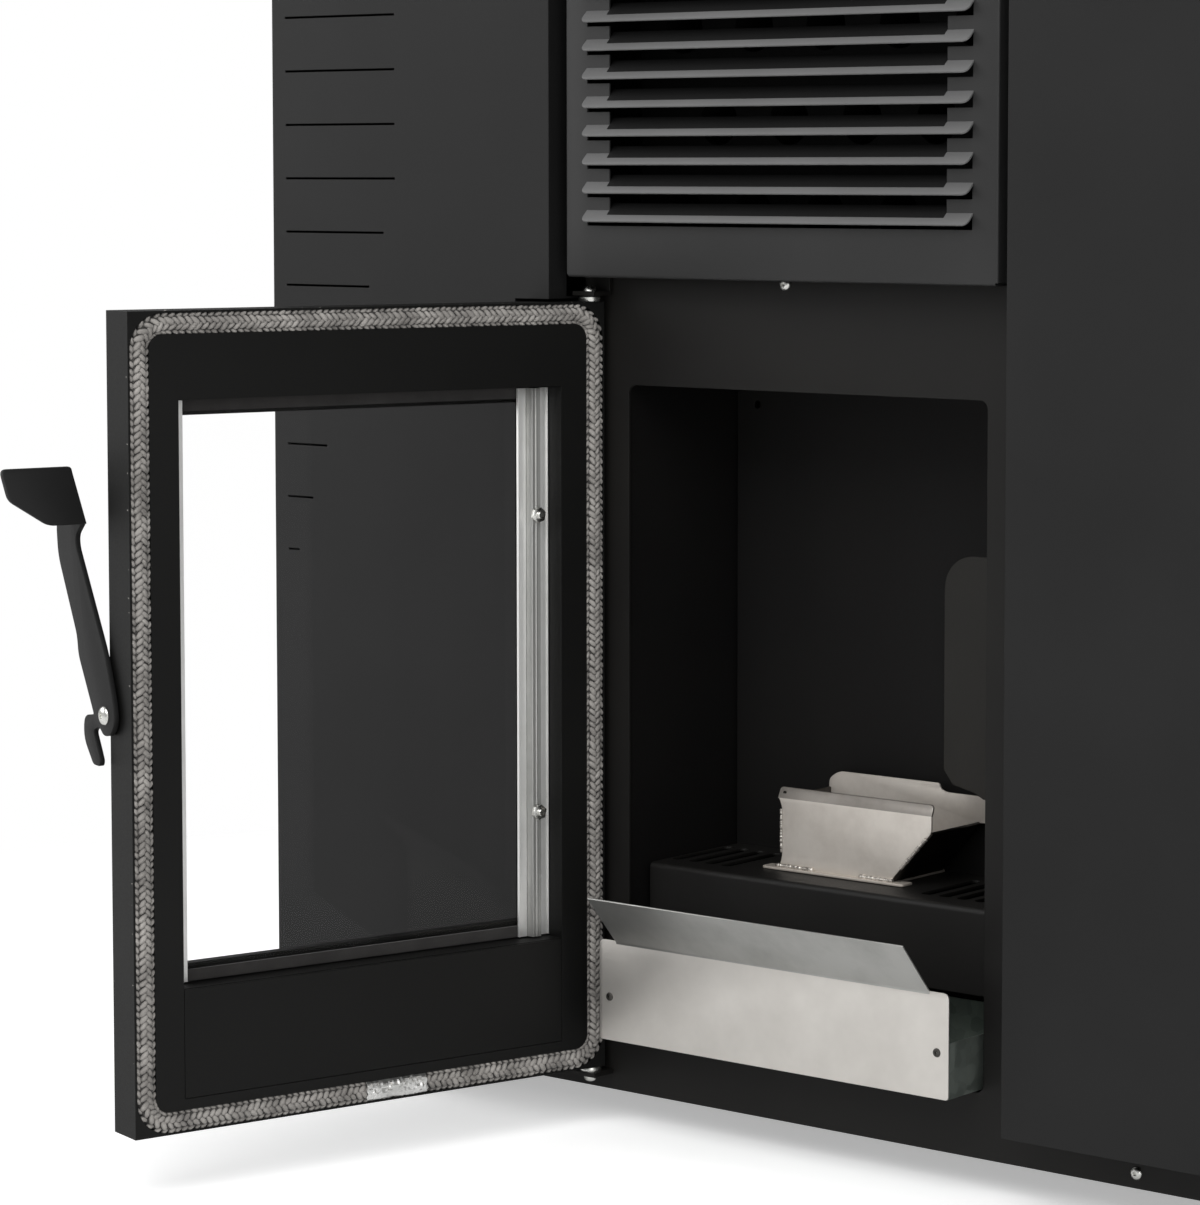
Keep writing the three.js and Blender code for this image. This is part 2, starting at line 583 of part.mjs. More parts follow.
trayProfile.lineTo(TRAY_Y, TRAY_BOTTOM);
addMesh('burn_pot_tray', cut(
  alongX(trayProfile, -TRAY_HALF, TRAY_HALF, 5),
  block(-40, 20, 102, 140, TRAY_TOP - 5, TRAY_TOP + 2),
  ...traySlots,
), stovePaint);

const potBase = TRAY_TOP + GAP;
const potSheet = 1.8;
const potFace = polygon([
  [-64, potBase], [38, potBase], [38, 196], [71, 231], [71, POT_TOP], [-64, POT_TOP],
]);
const potRear = polygon([
  [-64, potBase], [38, potBase], [38, 196], [71, 231], [90, 231], [90, POT_TOP], [42, POT_TOP],
  [38, POT_TOP + 1.5], [36, POT_TOP + 6], [-54, POT_TOP + 6], [-60, POT_TOP],
]);
const potSlope = polygon([
  [36, 194], [38.8, 193.4], [72, 230.4], [70.8, 231.8],
]);
const potHoles = [];
for (let row = 0; row < 2; row += 1) {
  for (let k = 0; k < 4; k += 1) {
    potHoles.push(rod('z', 3.5, [-38 + 18 * k, 112 + 18 * row], potBase - 2, potBase + 5, 10));
  }
}
addMesh('burn_pot', cut(unite(
  block(-75, 50, 86, 99, potBase, potBase + potSheet),
  block(-64, 38, 98, 156, potBase, potBase + potSheet),
  alongY(potFace, POT_FRONT, POT_FRONT + potSheet),
  alongY(potRear, POT_BACK, POT_BACK + potSheet),
  block(-64, -64 + potSheet, POT_FRONT, POT_BACK + 1, potBase, POT_TOP - 2),
  alongY(potSlope, POT_FRONT + 0.5, POT_BACK + 1),
  alongX(polygon([[POT_FRONT, POT_TOP - 0.5], [POT_FRONT + 1, POT_TOP - 2],
    [POT_FRONT + 9, POT_TOP + 1], [POT_FRONT + 9, POT_TOP + 2.5]]), -64, 71),
), rod('y', 2.2, [-59, 243], POT_FRONT - 2, POT_FRONT + 4, 12),
rod('y', 7, [-11, 215], POT_BACK - 2, POT_BACK + 4, 16), ...potHoles), stainless);

const deflector = new THREE.Shape();
deflector.moveTo(96, 254);
deflector.lineTo(FIREBOX_HALF - 6, 254);
deflector.lineTo(FIREBOX_HALF - 6, 424);
deflector.lineTo(86, 424);
deflector.absarc(86, 400, 24, Math.PI / 2, Math.PI, false);
deflector.lineTo(62, 272);
deflector.lineTo(70, 262);
deflector.lineTo(88, 258);
addMesh('chute_deflector', unite(
  alongY(deflector, 118.5, 120.5, 5),
  block(FIREBOX_HALF - 7.5, FIREBOX_HALF - GAP, 106, 120.5, 330, 420),
), stovePaint);

addMesh('igniter', unite(
  rod('y', 5, [-11, 215], POT_BACK + 5, 230, 16),
  rod('y', 14, [-11, 215], FIREBOX_BACK + GAP, FIREBOX_BACK + 3, 16),
  rod('y', 6, [-11, 215], FIREBOX_BACK + 2, 222, 16),
), stainless);

// ---------------------------------------------------------------- ash drawer
const lipAngle = Math.atan2(LIP_TOP - DRAWER_TOP, LIP_REACH);
const lipSheet = 1.2;
const drawerFace = roundRect(-DRAWER_HALF, DRAWER_HALF, DRAWER_BOTTOM, DRAWER_TOP, 4);
const lipAcross = [Math.sin(lipAngle) * lipSheet, Math.cos(lipAngle) * lipSheet];
const lip = alongX(polygon([
  [DRAWER_OUT, DRAWER_TOP - 0.3], [DRAWER_OUT - LIP_REACH, LIP_TOP],
  [DRAWER_OUT - LIP_REACH + lipAcross[0], LIP_TOP + lipAcross[1]],
  [DRAWER_OUT + lipSheet, DRAWER_TOP + 0.4], [DRAWER_OUT + lipSheet, DRAWER_TOP - 0.3],
]), -LIP_HALF, LIP_HALF);
const rivetSpots = [['drawer_rivet_left', -143], ['drawer_rivet_right', 143]];
const rivetHoles = rivetSpots.map(([, x]) => rod('y', 1.9, [x, 103], -6, 2, 12));
addMesh('drawer_front', cut(
  unite(alongY(drawerFace, DRAWER_OUT, DRAWER_OUT + lipSheet, 3), lip), ...rivetHoles), stainless);

const boxY0 = DRAWER_OUT + lipSheet + GAP;
const boxY1 = boxY0 + DRAWER_DEPTH;
const boxHalf = DRAWER_HALF - 1.5;
const boxTop = DRAWER_BOTTOM + 38;
addMesh('drawer_box', cut(
  block(-boxHalf, boxHalf, boxY0, boxY1, DRAWER_BOTTOM, boxTop),
  block(-boxHalf + 1.2, boxHalf - 1.2, boxY0 + 1.2, boxY1 - 1.2, DRAWER_BOTTOM + 1.2, boxTop + 2),
  ...rivetSpots.map(([, x]) => rod('y', 2.5, [x, 103], boxY0 - 2, boxY0 + 3, 12)),
), galvanised);
for (const [name, x] of rivetSpots) {
  addMesh(name, turned('y', [
    [0, -1.5], [1.6, -1.3], [3.1, -0.2], [3.1, -0.05 - GAP + 0.45], [1.5, 0], [1.5, 2.9], [0, 2.9],
  ], [x, DRAWER_OUT - GAP, 103], 14), zinc);
}

// ---------------------------------------------------------------- pellet feed
function augerAxis(along) {
  return [AUGER_LOW_X - along * Math.SQRT1_2, AUGER_Y, AUGER_LOW_Z + along * Math.SQRT1_2];
}
const throat = [AUGER_LOW_X - 82, AUGER_LOW_X - 22];
const hopperOuter = unite(
  taper([throat[0], throat[1], 112, 168, 470], [hopperX0 + 4, hopperX1 - 4, hopperY0 + 4, hopperY1 - 4, 800]),
  block(hopperX0 + 4, hopperX1 - 4, hopperY0 + 4, hopperY1 - 4, 799, HEIGHT - 13),
  block(throat[0], throat[1], 112, 168, 370, 471),
);
const hopperInner = unite(
  taper([throat[0] + 2, throat[1] - 2, 114, 166, 470], [hopperX0 + 6, hopperX1 - 6, hopperY0 + 6, hopperY1 - 6, 800]),
  block(hopperX0 + 6, hopperX1 - 6, hopperY0 + 6, hopperY1 - 6, 799, HEIGHT),
  block(throat[0] + 2, throat[1] - 2, 114, 166, 300, 471),
);
const hopperBody = cut(
  hopperOuter, hopperInner,
  bar(AUGER_RADIUS + GAP, augerAxis(-60), augerAxis(AUGER_LENGTH + 40), 24),
  block(throat[0] - 5, throat[1] + 5, 100, 180, 300, 398),
);
addMesh('pellet_hopper', hopperBody, galvanised);

addMesh('auger_tube', cut(
  bar(AUGER_RADIUS, augerAxis(0), augerAxis(AUGER_LENGTH), 24),
  bar(AUGER_RADIUS - 3, augerAxis(-5), augerAxis(AUGER_LENGTH + 5), 24),
  block(throat[0] + 4, throat[1] - 4, 118, 162, 385, 520),
  chuteLine(CHUTE_RADIUS - 2, 30),
), galvanised);

// The flight is a thin helical band wound on the shaft.
function flight(inner, outer, length, pitch, thick, steps) {
  const points = [];
  const faces = [];
  const total = Math.round((length - thick) / pitch * steps);
  for (let i = 0; i <= total; i += 1) {
    const turn = (i / steps) * Math.PI * 2;
    const h = (i / steps) * pitch;
    for (const [r, dh] of [[inner, 0], [outer, 0], [outer, thick], [inner, thick]]) {
      points.push(r * Math.cos(turn), h + dh, r * Math.sin(turn));
    }
  }
  for (let i = 0; i < total; i += 1) {
    const a = i * 4;
    for (let k = 0; k < 4; k += 1) {
      const b = a + ((k + 1) % 4);
      faces.push(a + k, b, a + k + 4, b, b + 4, a + k + 4);
    }
  }
  const end = total * 4;
  faces.push(0, 2, 1, 0, 3, 2, end, end + 1, end + 2, end, end + 2, end + 3);
  const geometry = new THREE.BufferGeometry();
  geometry.setAttribute('position', new THREE.Float32BufferAttribute(points, 3));
  geometry.setIndex(faces);
  return geometry;
}
const screwLength = AUGER_LENGTH - 30;
const screwTurn = new THREE.Matrix4().makeRotationX(Math.PI / 2);
screwTurn.multiply(new THREE.Matrix4().makeRotationZ(Math.PI / 4));
screwTurn.setPosition(...augerAxis(10));
const flightPart = toSolid(flight(5, 24, screwLength, 44, 3, 12).rotateY(0.13));
const shaftPart = rod('y', 8, [0, 0], -28, screwLength + 6, 10);
addMesh('auger_screw', unite(shaftPart, flightPart), stainless, screwTurn);

addMesh('auger_gearmotor', cut(
  unite(
    bar(34, augerAxis(-6), augerAxis(-GAP), 20),
    bar(27, augerAxis(-56), augerAxis(-5), 8),
    bar(17, augerAxis(-86), augerAxis(-55), 16),
  ),
  bar(8.6, augerAxis(-22), augerAxis(20), 16),
), aluminium);

addMesh('pellet_chute', cut(
  chuteLine(CHUTE_RADIUS, 0),
  chuteLine(CHUTE_RADIUS - 2, 10),
  bar(AUGER_RADIUS + GAP, augerAxis(-20), augerAxis(AUGER_LENGTH + 40), 24),
), galvanised);

// ---------------------------------------------------------------- exhaust fan and flue
const fanY0 = FIREBOX_BACK + GAP;
const fanY1 = fanY0 + 44;
const ductZ = [FAN_Z - FAN_RADIUS, FAN_Z - FAN_RADIUS + 36];
addMesh('exhaust_fan_housing', cut(
  unite(
    rod('y', FAN_RADIUS, [FAN_X, FAN_Z], fanY0, fanY1, 28),
    block(FAN_X, FLUE_X - FLUE_RADIUS - 6, fanY0, fanY1, ...ductZ),
  ),
  rod('y', FAN_RADIUS - 2, [FAN_X, FAN_Z], fanY0 + 2, fanY1 - 2, 28),
  block(FAN_X, FLUE_X - FLUE_RADIUS, fanY0 + 2, fanY1 - 2, ductZ[0] + 2, ductZ[1] - 2),
  rod('y', 36, [FAN_X, FAN_Z], fanY0 - 2, fanY0 + 4, 24),
  rod('y', 6, [FAN_X, FAN_Z], fanY1 - 4, fanY1 + 2, 16),
), galvanised);

const blades = Array.from({ length: 6 }, (_, k) => toSolid(
  new THREE.BoxGeometry(2, 26, 42).translate(0, 0, 38)
    .rotateY((k * Math.PI) / 3).translate(FAN_X, fanY0 + 22, FAN_Z)));
addMesh('exhaust_impeller', unite(
  rod('y', 62, [FAN_X, FAN_Z], fanY0 + 33, fanY0 + 35.5, 24),
  rod('y', 18, [FAN_X, FAN_Z], fanY0 + 10, fanY0 + 34, 16),
  rod('y', 4, [FAN_X, FAN_Z], fanY0 + 30, fanY1 + 8, 12),
  ...blades,
), stainless);

addMesh('exhaust_motor', cut(
  unite(
    rod('y', 38, [FAN_X, FAN_Z], fanY1 + GAP, fanY1 + 30, 20),
    rod('y', 20, [FAN_X, FAN_Z], fanY1 + 29, fanY1 + 35, 16),
  ),
  rod('y', 4.6, [FAN_X, FAN_Z], fanY1 - 2, fanY1 + 12, 12),
), aluminium);

const flueY0 = fanY0 + 2;
const collectorZ0 = ductZ[0] - 4;
addMesh('flue_outlet', cut(
  unite(
    rod('y', FLUE_RADIUS, [FLUE_X, FAN_Z], flueY0 + 10, FLUE_END, 28),
    block(FLUE_X - FLUE_RADIUS - 5, FLUE_X + FLUE_RADIUS + 5, flueY0, flueY0 + 46,
      collectorZ0, FAN_Z + FLUE_RADIUS + 6),
  ),
  rod('y', FLUE_RADIUS - 1.5, [FLUE_X, FAN_Z], flueY0 + 30, FLUE_END + 5, 28),
  block(FLUE_X - FLUE_RADIUS - 3, FLUE_X + FLUE_RADIUS + 3, flueY0 + 2, flueY0 + 44,
    collectorZ0 + 2, FAN_Z + FLUE_RADIUS + 4),
  block(FLUE_X - FLUE_RADIUS - 8, FLUE_X - FLUE_RADIUS, fanY0 + 4, fanY1 - 4,
    ductZ[0] + 2, ductZ[1] - 2),
), galvanised);

addMesh('air_intake', cut(
  unite(
    rod('y', 23.6, [-130, 150], FIREBOX_BACK - 1.5, 300, 20),
    rod('y', 30, [-130, 150], FIREBOX_BACK + GAP, FIREBOX_BACK + 3, 20),
  ),
  rod('y', 22, [-130, 150], FIREBOX_BACK - 5, 305, 20),
), galvanised);

// ---------------------------------------------------------------- room blower
const blowerY0 = exchangerBack + GAP;
const blowerY1 = BACK_Y - 6;
const rotorY = 226;
const rotorZ = 655;
addMesh('room_blower_housing', cut(
  unite(
    block(-160, 160, blowerY0, blowerY1, 612, 836),
    rod('x', 30, [rotorY, rotorZ], -222, -159, 20),
  ),
  block(-157, 157, blowerY0 - 3, blowerY1 - 2, 642, 833),
  block(-157, 157, blowerY0 + 4, blowerY1 - 2, 614, 700),
  block(-150, 150, blowerY0 + 10, blowerY1 - 10, 605, 620),
  rod('x', 4.6, [rotorY, rotorZ], -178, -150, 12),
), galvanised);
const rotorBlades = Array.from({ length: 12 }, (_, k) => toSolid(
  new THREE.BoxGeometry(298, 2, 9).translate(0, 0, 25)
    .rotateX((k * Math.PI) / 6).translate(0, rotorY, rotorZ)));
addMesh('room_blower_rotor', unite(
  rod('x', 30.5, [rotorY, rotorZ], -150, -147, 24),
  rod('x', 30.5, [rotorY, rotorZ], 147, 150, 24),
  rod('x', 30.5, [rotorY, rotorZ], -1.5, 1.5, 24),
  rod('x', 4, [rotorY, rotorZ], -174, 153, 12),
  ...rotorBlades,
), aluminium);

// ---------------------------------------------------------------- electrics
addMesh('control_board_box', cut(
  alongY(roundRect(boardX - 75, boardX + 75, 330, 540, 4), 200, 246),
  ...Array.from({ length: 5 }, (_, k) => block(boardX - 55, boardX + 55, 190, 203, 350 + 14 * k, 354 + 14 * k)),
), blackPlastic);
addMesh('mains_inlet', cut(
  unite(
    alongY(roundRect(inletX - 36, inletX + 36, 92, 132, 3), BACK_Y + GAP + SHEET + GAP, BACK_Y + 5.5, 3),
    block(inletX - 28, inletX + 28, 248, BACK_Y + 4, 98, 126),
  ),
  alongY(polygon([
    [inletX - 13, 102], [inletX + 13, 102], [inletX + 13, 117], [inletX + 8, 122], [inletX - 8, 122],
    [inletX - 13, 117],
  ]), 258, BACK_Y + 8),
  ...[inletX - 6, inletX, inletX + 6].map((x) => block(x - 1, x + 1, 252, 259, 109, 115)),
), blackPlastic);
addMesh('switch_housing', cut(
  unite(
    alongY(roundRect(switchX - 16, switchX + 16, 136, 174, 3), BACK_Y + GAP + SHEET + GAP, BACK_Y + 4.5, 3),
    block(switchX - 10, switchX + 10, 252, BACK_Y + 4, 142, 168),
  ),
  block(switchX - 8, switchX + 8, 256, BACK_Y + 8, 143.2, 166.8),
), blackPlastic);
addMesh('rocker_switch', alongX(polygon([
  [BACK_Y - 9, 149], [BACK_Y - 9, 161], [BACK_Y + 3, 165], [BACK_Y + 4.6, 165],
  [BACK_Y + 3.4, 155], [BACK_Y + 4.6, 145], [BACK_Y + 3, 145],
]), switchX - 7, switchX + 7), blackPlastic);

// ---------------------------------------------------------------- door hinges
const pinX = HINGE_X;
function hingeBracket(name, zPlate, up) {
  const z0 = Math.min(zPlate, zPlate + up * 3);
  const z1 = Math.max(zPlate, zPlate + up * 3);
  const inward = up > 0 ? DOOR_TOP : DOOR_BOTTOM;
  const washer = [inward + up * 0.5, zPlate + up * 0.2];
  const pin = [inward - up * 5, zPlate + up * 6];
  const footZ = up > 0 ? [z0, z0 + 20] : [z0, z1];
  addMesh(name, unite(
    block(pinX - 8, pinX + 12, 13, FRONT_Y - GAP, z0, z1),
    block(pinX - 8, pinX + 12, FRONT_Y - 3.4, FRONT_Y - GAP, ...footZ),
    rod('z', 7.5, [pinX, HINGE_Y], Math.min(...washer), Math.max(...washer), 20),
    rod('z', 3, [pinX, HINGE_Y], Math.min(...pin), Math.max(...pin), 16),
  ), zinc);
}
hingeBracket('hinge_bracket_top', DOOR_TOP + 4.5, 1);
hingeBracket('hinge_bracket_bottom', DOOR_BOTTOM - 3, -1);

// ---------------------------------------------------------------- door, drawn closed and swung open
const swing = new THREE.Matrix4()
  .makeTranslation(HINGE_X, HINGE_Y, 0)
  .multiply(new THREE.Matrix4().makeRotationZ(THREE.MathUtils.degToRad(-DOOR_ANGLE)))
  .multiply(new THREE.Matrix4().makeTranslation(-HINGE_X, -HINGE_Y, 0));

const ropeOuter = [DOOR_LEFT + ROPE_RIM, DOOR_RIGHT - ROPE_RIM, DOOR_BOTTOM + ROPE_RIM, DOOR_TOP - ROPE_RIM];
function ropeRing(grow, ya, yb) {
  const outer = roundRect(ropeOuter[0] - grow, ropeOuter[1] + grow, ropeOuter[2] - grow,
    ropeOuter[3] + grow, 24 + grow);
  const w = ROPE_WIDTH + grow;
  const inner = roundRect(ropeOuter[0] + w, ropeOuter[1] - w, ropeOuter[2] + w,
    ropeOuter[3] - w, 24 - w);
  outer.holes.push(inner);
  return alongY(outer, ya, yb, 6);
}
const doorPlan = polygon([
  [DOOR_LEFT, DOOR_BACK], [DOOR_LEFT, DOOR_FRONT + 3], [DOOR_LEFT + 1, DOOR_FRONT + 1],
  [DOOR_LEFT + 3, DOOR_FRONT], [DOOR_RIGHT - 3, DOOR_FRONT], [DOOR_RIGHT - 1, DOOR_FRONT + 1],
  [DOOR_RIGHT, DOOR_FRONT + 3], [DOOR_RIGHT, DOOR_BACK],
]);
const ropeFloor = DOOR_BACK - 9.6;
const lowerLeft = RECESS_LEFT;
const lowerRight = RECESS_RIGHT;
const boltY = DOOR_BACK - LEVER_BOLT_V;
addMesh('door_frame', cut(
  alongZ(doorPlan, DOOR_BOTTOM, DOOR_TOP),
  ropeRing(0.4, ropeFloor, DOOR_BACK + 2),
  block(RECESS_LEFT, RECESS_RIGHT, GLASS_BACK - GLASS_THICK - GAP, DOOR_BACK + 2,
    RECESS_BOTTOM, RECESS_TOP),
  alongY(roundRect(RECESS_LEFT + 12, RECESS_RIGHT - 12, RECESS_BOTTOM + 12, RECESS_TOP - 12, 3),
    DOOR_FRONT - 2, GLASS_BACK),
  block(lowerLeft, lowerRight, DOOR_BACK - 2 - GAP, DOOR_BACK + 2, LOWER_PANEL_LOW,
    RECESS_BOTTOM + 1),
  block(lowerLeft + 4, lowerRight - 4, DOOR_BACK - 24, DOOR_BACK, LOWER_PANEL_LOW + 4,
    RECESS_BOTTOM - 6),
  rod('z', 3.5, [HINGE_X, HINGE_Y], DOOR_TOP - 5.6, DOOR_TOP + 2, 16),
  rod('z', 3.5, [HINGE_X, HINGE_Y], DOOR_BOTTOM - 2, DOOR_BOTTOM + 5.6, 16),
  rod('x', 4.4, [boltY, LEVER_BOLT_Z], DOOR_RIGHT - 12, DOOR_RIGHT + 2, 16),
), stovePaint, swing);

addMesh('door_lower_panel', block(lowerLeft + GAP, lowerRight - GAP, DOOR_BACK - 2, DOOR_BACK,
  LOWER_PANEL_LOW + GAP, RECESS_BOTTOM - GAP), stovePaint, swing);

const glassFront = GLASS_BACK - GLASS_THICK;
addMesh('door_glass', block(RECESS_LEFT + 2, RECESS_RIGHT - 2, glassFront, GLASS_BACK,
  RECESS_BOTTOM + 2, RECESS_TOP - 2), glassPane, swing);
const gasketOuter = roundRect(RECESS_LEFT + 1, RECESS_RIGHT - 1, RECESS_BOTTOM + 1, RECESS_TOP - 1, 1);
gasketOuter.holes.push(roundRect(
  RECESS_LEFT + 9, RECESS_RIGHT - 9, RECESS_BOTTOM + 9, RECESS_TOP - 9, 1));
addMesh('glass_gasket', alongY(gasketOuter, GLASS_BACK + GAP, GLASS_BACK + 2.2, 2), gasketTape, swing);

// The hinge side has a wide ribbed clamp with nuts, the free side a narrow angle with small screws.
const clampLow = GLASS_BACK + 2.6;
const hingeClampX = (d) => RECESS_LEFT + GAP + d;
const freeClampX = (d) => RECESS_RIGHT - GAP - d;
const hingeClamp = [
  [0, clampLow], [8, clampLow], [9.5, CLAMP_BACK - 1.5], [16, CLAMP_BACK - 1.5],
  [17.5, clampLow], [CLAMP_WIDTH, clampLow], [CLAMP_WIDTH, clampLow + 1.5],
  [18.8, clampLow + 1.5], [17.2, CLAMP_BACK], [8.3, CLAMP_BACK],
  [6.7, clampLow + 1.5], [0, clampLow + 1.5],
];
const freeClamp = [
  [0, clampLow], [FREE_CLAMP_WIDTH, clampLow], [FREE_CLAMP_WIDTH, clampLow + 1.5],
  [1.5, clampLow + 1.5], [1.5, clampLow + 5], [0, clampLow + 5],
];
function clampSolid(profile, across, holeX, holeRadius) {
  return cut(
    alongZ(polygon(profile.map(([d, y]) => [across(d), y])), RECESS_BOTTOM + 1, RECESS_TOP - 1.5),
    ...NUT_Z.map((z) => rod('y', holeRadius, [holeX, z], GLASS_BACK, CLAMP_BACK + 3, 12)),
  );
}
const nutX = hingeClampX(12.75);
const screwX = freeClampX(5.2);
addMesh('glass_clamp_hinge_side', clampSolid(hingeClamp, hingeClampX, nutX, 3.4), galvanised, swing);
addMesh('glass_clamp_free_side', clampSolid(freeClamp, freeClampX, screwX, 1.9), galvanised, swing);
NUT_Z.forEach((z, k) => {
  const level = k === 0 ? 'low' : 'high';
  addMesh(`clamp_nut_hinge_side_${level}`, unite(
    rod('y', 3, [nutX, z], GLASS_BACK + 3.2, CLAMP_BACK + 6.4, 12),
    rod('y', 6, [nutX, z], CLAMP_BACK + GAP, CLAMP_BACK + 4, 6),
  ), zinc, swing);
  addMesh(`clamp_nut_free_side_${level}`, unite(
    rod('y', 1.5, [screwX, z], GLASS_BACK + 3.2, clampLow + 2.5, 12),
    rod('y', 3, [screwX, z], clampLow + 1.5 + GAP, clampLow + 3.6, 12),
  ), zinc, swing);
});

const ropeProud = 2.4;
const ropeNotch = block(FOIL_LEFT - 1.4, FOIL_LEFT + FOIL_LENGTH + 1.4, DOOR_BACK + ropeProud - 0.9, DOOR_BACK + 5,
  DOOR_BOTTOM, DOOR_BOTTOM + 20);
addMesh('rope_gasket', cut(
  ropeRing(0, ropeFloor + GAP, DOOR_BACK + ropeProud), ropeNotch), ropeFibre, swing);
addMesh('foil_tape', block(FOIL_LEFT, FOIL_LEFT + FOIL_LENGTH, DOOR_BACK + ropeProud - 0.5, DOOR_BACK + ropeProud + 0.3,
  DOOR_BOTTOM + 2.2, DOOR_BOTTOM + 15), foil, swing);

// ---------------------------------------------------------------- door handle
const leverX = DOOR_RIGHT + LEVER_GAP;
const vy = (v) => DOOR_BACK - v;
const leverOutline = [
  [98, 124], [97, 103], [68.6, 49], [67.3, 39], [49.4, 6], [44, 1], [59.4, -4],
  [58.8, -18], [45.2, -34], [37, -34], [36.3, -32], [41.7, -20.6], [46.4, -13], [36.4, -9],
  [30, -13], [22, -12], [16.5, -7], [14.5, 0], [17, 10], [27.4, 40], [68.3, 110.5],
  [69.6, 118], [60.4, 127], [64, 133], [94, 133],
];
const leverShape = polygon(leverOutline.map(([v, up]) => [vy(v), LEVER_BOLT_Z + up]));
const foldZ = LEVER_BOLT_Z + 127;
const gripShape = new THREE.Shape();
const gripReach = 52;
gripShape.moveTo(leverX, foldZ - 1);
gripShape.lineTo(leverX + gripReach - 24, foldZ - 1);
gripShape.lineTo(leverX + gripReach, foldZ + 16.5);
gripShape.lineTo(leverX + gripReach, foldZ + 34);
gripShape.lineTo(leverX + gripReach - 3, foldZ + 37);
gripShape.lineTo(leverX, foldZ + 37);
const lean = 22.2 / 36;
const gripSlab = alongY(gripShape, -LEVER_THICK / 2, LEVER_THICK / 2, 3);
const gripGeometry = toGeometry(gripSlab);
const shear = new THREE.Matrix4().set(
  1, 0, 0, 0,
  0, 1, -lean, vy(61.5) + lean * foldZ,
  0, 0, 1, 0,
  0, 0, 0, 1,
);
gripGeometry.applyMatrix4(shear);
const web = alongX(polygon([
  [vy(60.4), foldZ], [vy(96), foldZ - 5], [vy(98), foldZ + 1], [vy(84.5), foldZ + 37],
  [vy(80.5), foldZ + 37],
]), leverX, leverX + LEVER_THICK);
addMesh('handle_lever', cut(
  unite(alongX(leverShape, leverX, leverX + LEVER_THICK), web, toSolid(gripGeometry)),
  rod('x', 4.4, [boltY, LEVER_BOLT_Z], leverX - 2, leverX + LEVER_THICK + 2, 16),
), stovePaint, swing);

const headX = leverX + LEVER_THICK + 0.3;
addMesh('handle_bolt', unite(
  rod('x', 4, [boltY, LEVER_BOLT_Z], DOOR_RIGHT - 11, headX + 0.5, 16),
  turned('x', [[0, 2.2], [3.4, 1.7], [6, 0], [0, 0]].reverse(), [headX, boltY, LEVER_BOLT_Z], 16),
), zinc, swing);

// ---------------------------------------------------------------- centre on the footprint
const box = new THREE.Box3().setFromObject(group);
const middle = box.getCenter(new THREE.Vector3());
for (const mesh of group.children) {
  mesh.geometry.translate(-middle.x, -middle.y, 0);
}

export default group;
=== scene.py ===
"""Looks of the pellet stove: painted casings, louvred grille, open glazed door, burn pot and ash drawer.

Sizes in the classes are millimetres in the drawing's own place, where Y = 0 is the face of the
grille panel and the door is drawn shut. `Place` carries them to the frame, in metres.
"""

import logging
import math
import random
from dataclasses import dataclass, field
from enum import Enum
from typing import Any, Callable, Iterable, Optional, Sequence, Union

import bmesh
import bpy
from mathutils import Matrix, Vector


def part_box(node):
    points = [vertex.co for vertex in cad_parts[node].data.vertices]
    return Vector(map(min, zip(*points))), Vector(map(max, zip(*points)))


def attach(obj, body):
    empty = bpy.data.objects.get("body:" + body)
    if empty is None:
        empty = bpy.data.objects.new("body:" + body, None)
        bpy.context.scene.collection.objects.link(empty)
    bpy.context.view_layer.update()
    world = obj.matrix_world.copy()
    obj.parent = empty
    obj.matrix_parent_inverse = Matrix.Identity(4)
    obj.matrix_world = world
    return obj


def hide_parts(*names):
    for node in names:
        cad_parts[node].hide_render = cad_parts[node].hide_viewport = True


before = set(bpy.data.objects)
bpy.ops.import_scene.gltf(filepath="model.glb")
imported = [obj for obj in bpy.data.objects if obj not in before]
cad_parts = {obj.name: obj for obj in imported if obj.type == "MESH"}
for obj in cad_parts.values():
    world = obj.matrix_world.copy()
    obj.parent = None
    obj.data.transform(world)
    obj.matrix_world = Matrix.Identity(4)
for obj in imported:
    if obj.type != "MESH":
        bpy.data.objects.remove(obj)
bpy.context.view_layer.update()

LOG = logging.getLogger("pellet_stove")
Point = tuple[float, float, float]
Flat = tuple[float, float]
Lay = Callable[[float, float, float], Point]
Mesh = bmesh.types.BMesh
Vert = bmesh.types.BMVert
Tree = bpy.types.NodeTree
Socket = bpy.types.NodeSocket
Source = Union[bpy.types.Node, Socket]
# a flat part: its outline, where it starts and ends, and what carries both to space
Part = tuple[Sequence[Flat], float, float, Lay]

METRE = 1000.0  # millimetres
BUMP_HEIGHT = 0.0002  # metres that a fine bump stands for
EDGE_RAYS = 4  # rays that feel out an edge or a crease


# ---------------------------------------------------------------- colour and nodes
def linear(code: str) -> tuple[float, float, float, float]:
    """Turns an sRGB hex colour into the linear one that shaders take.

    Args:
        code: the colour as six hex digits, with or without a leading #.

    Returns:
        Red, green, blue and an alpha of 1.
    """
    digits = code.lstrip("#")
    channels = [int(digits[i:i + 2], 16) / 255 for i in (0, 2, 4)]
    red, green, blue = (c / 12.92 if c <= 0.04045 else ((c + 0.055) / 1.055) ** 2.4 for c in channels)
    return (red, green, blue, 1.0)


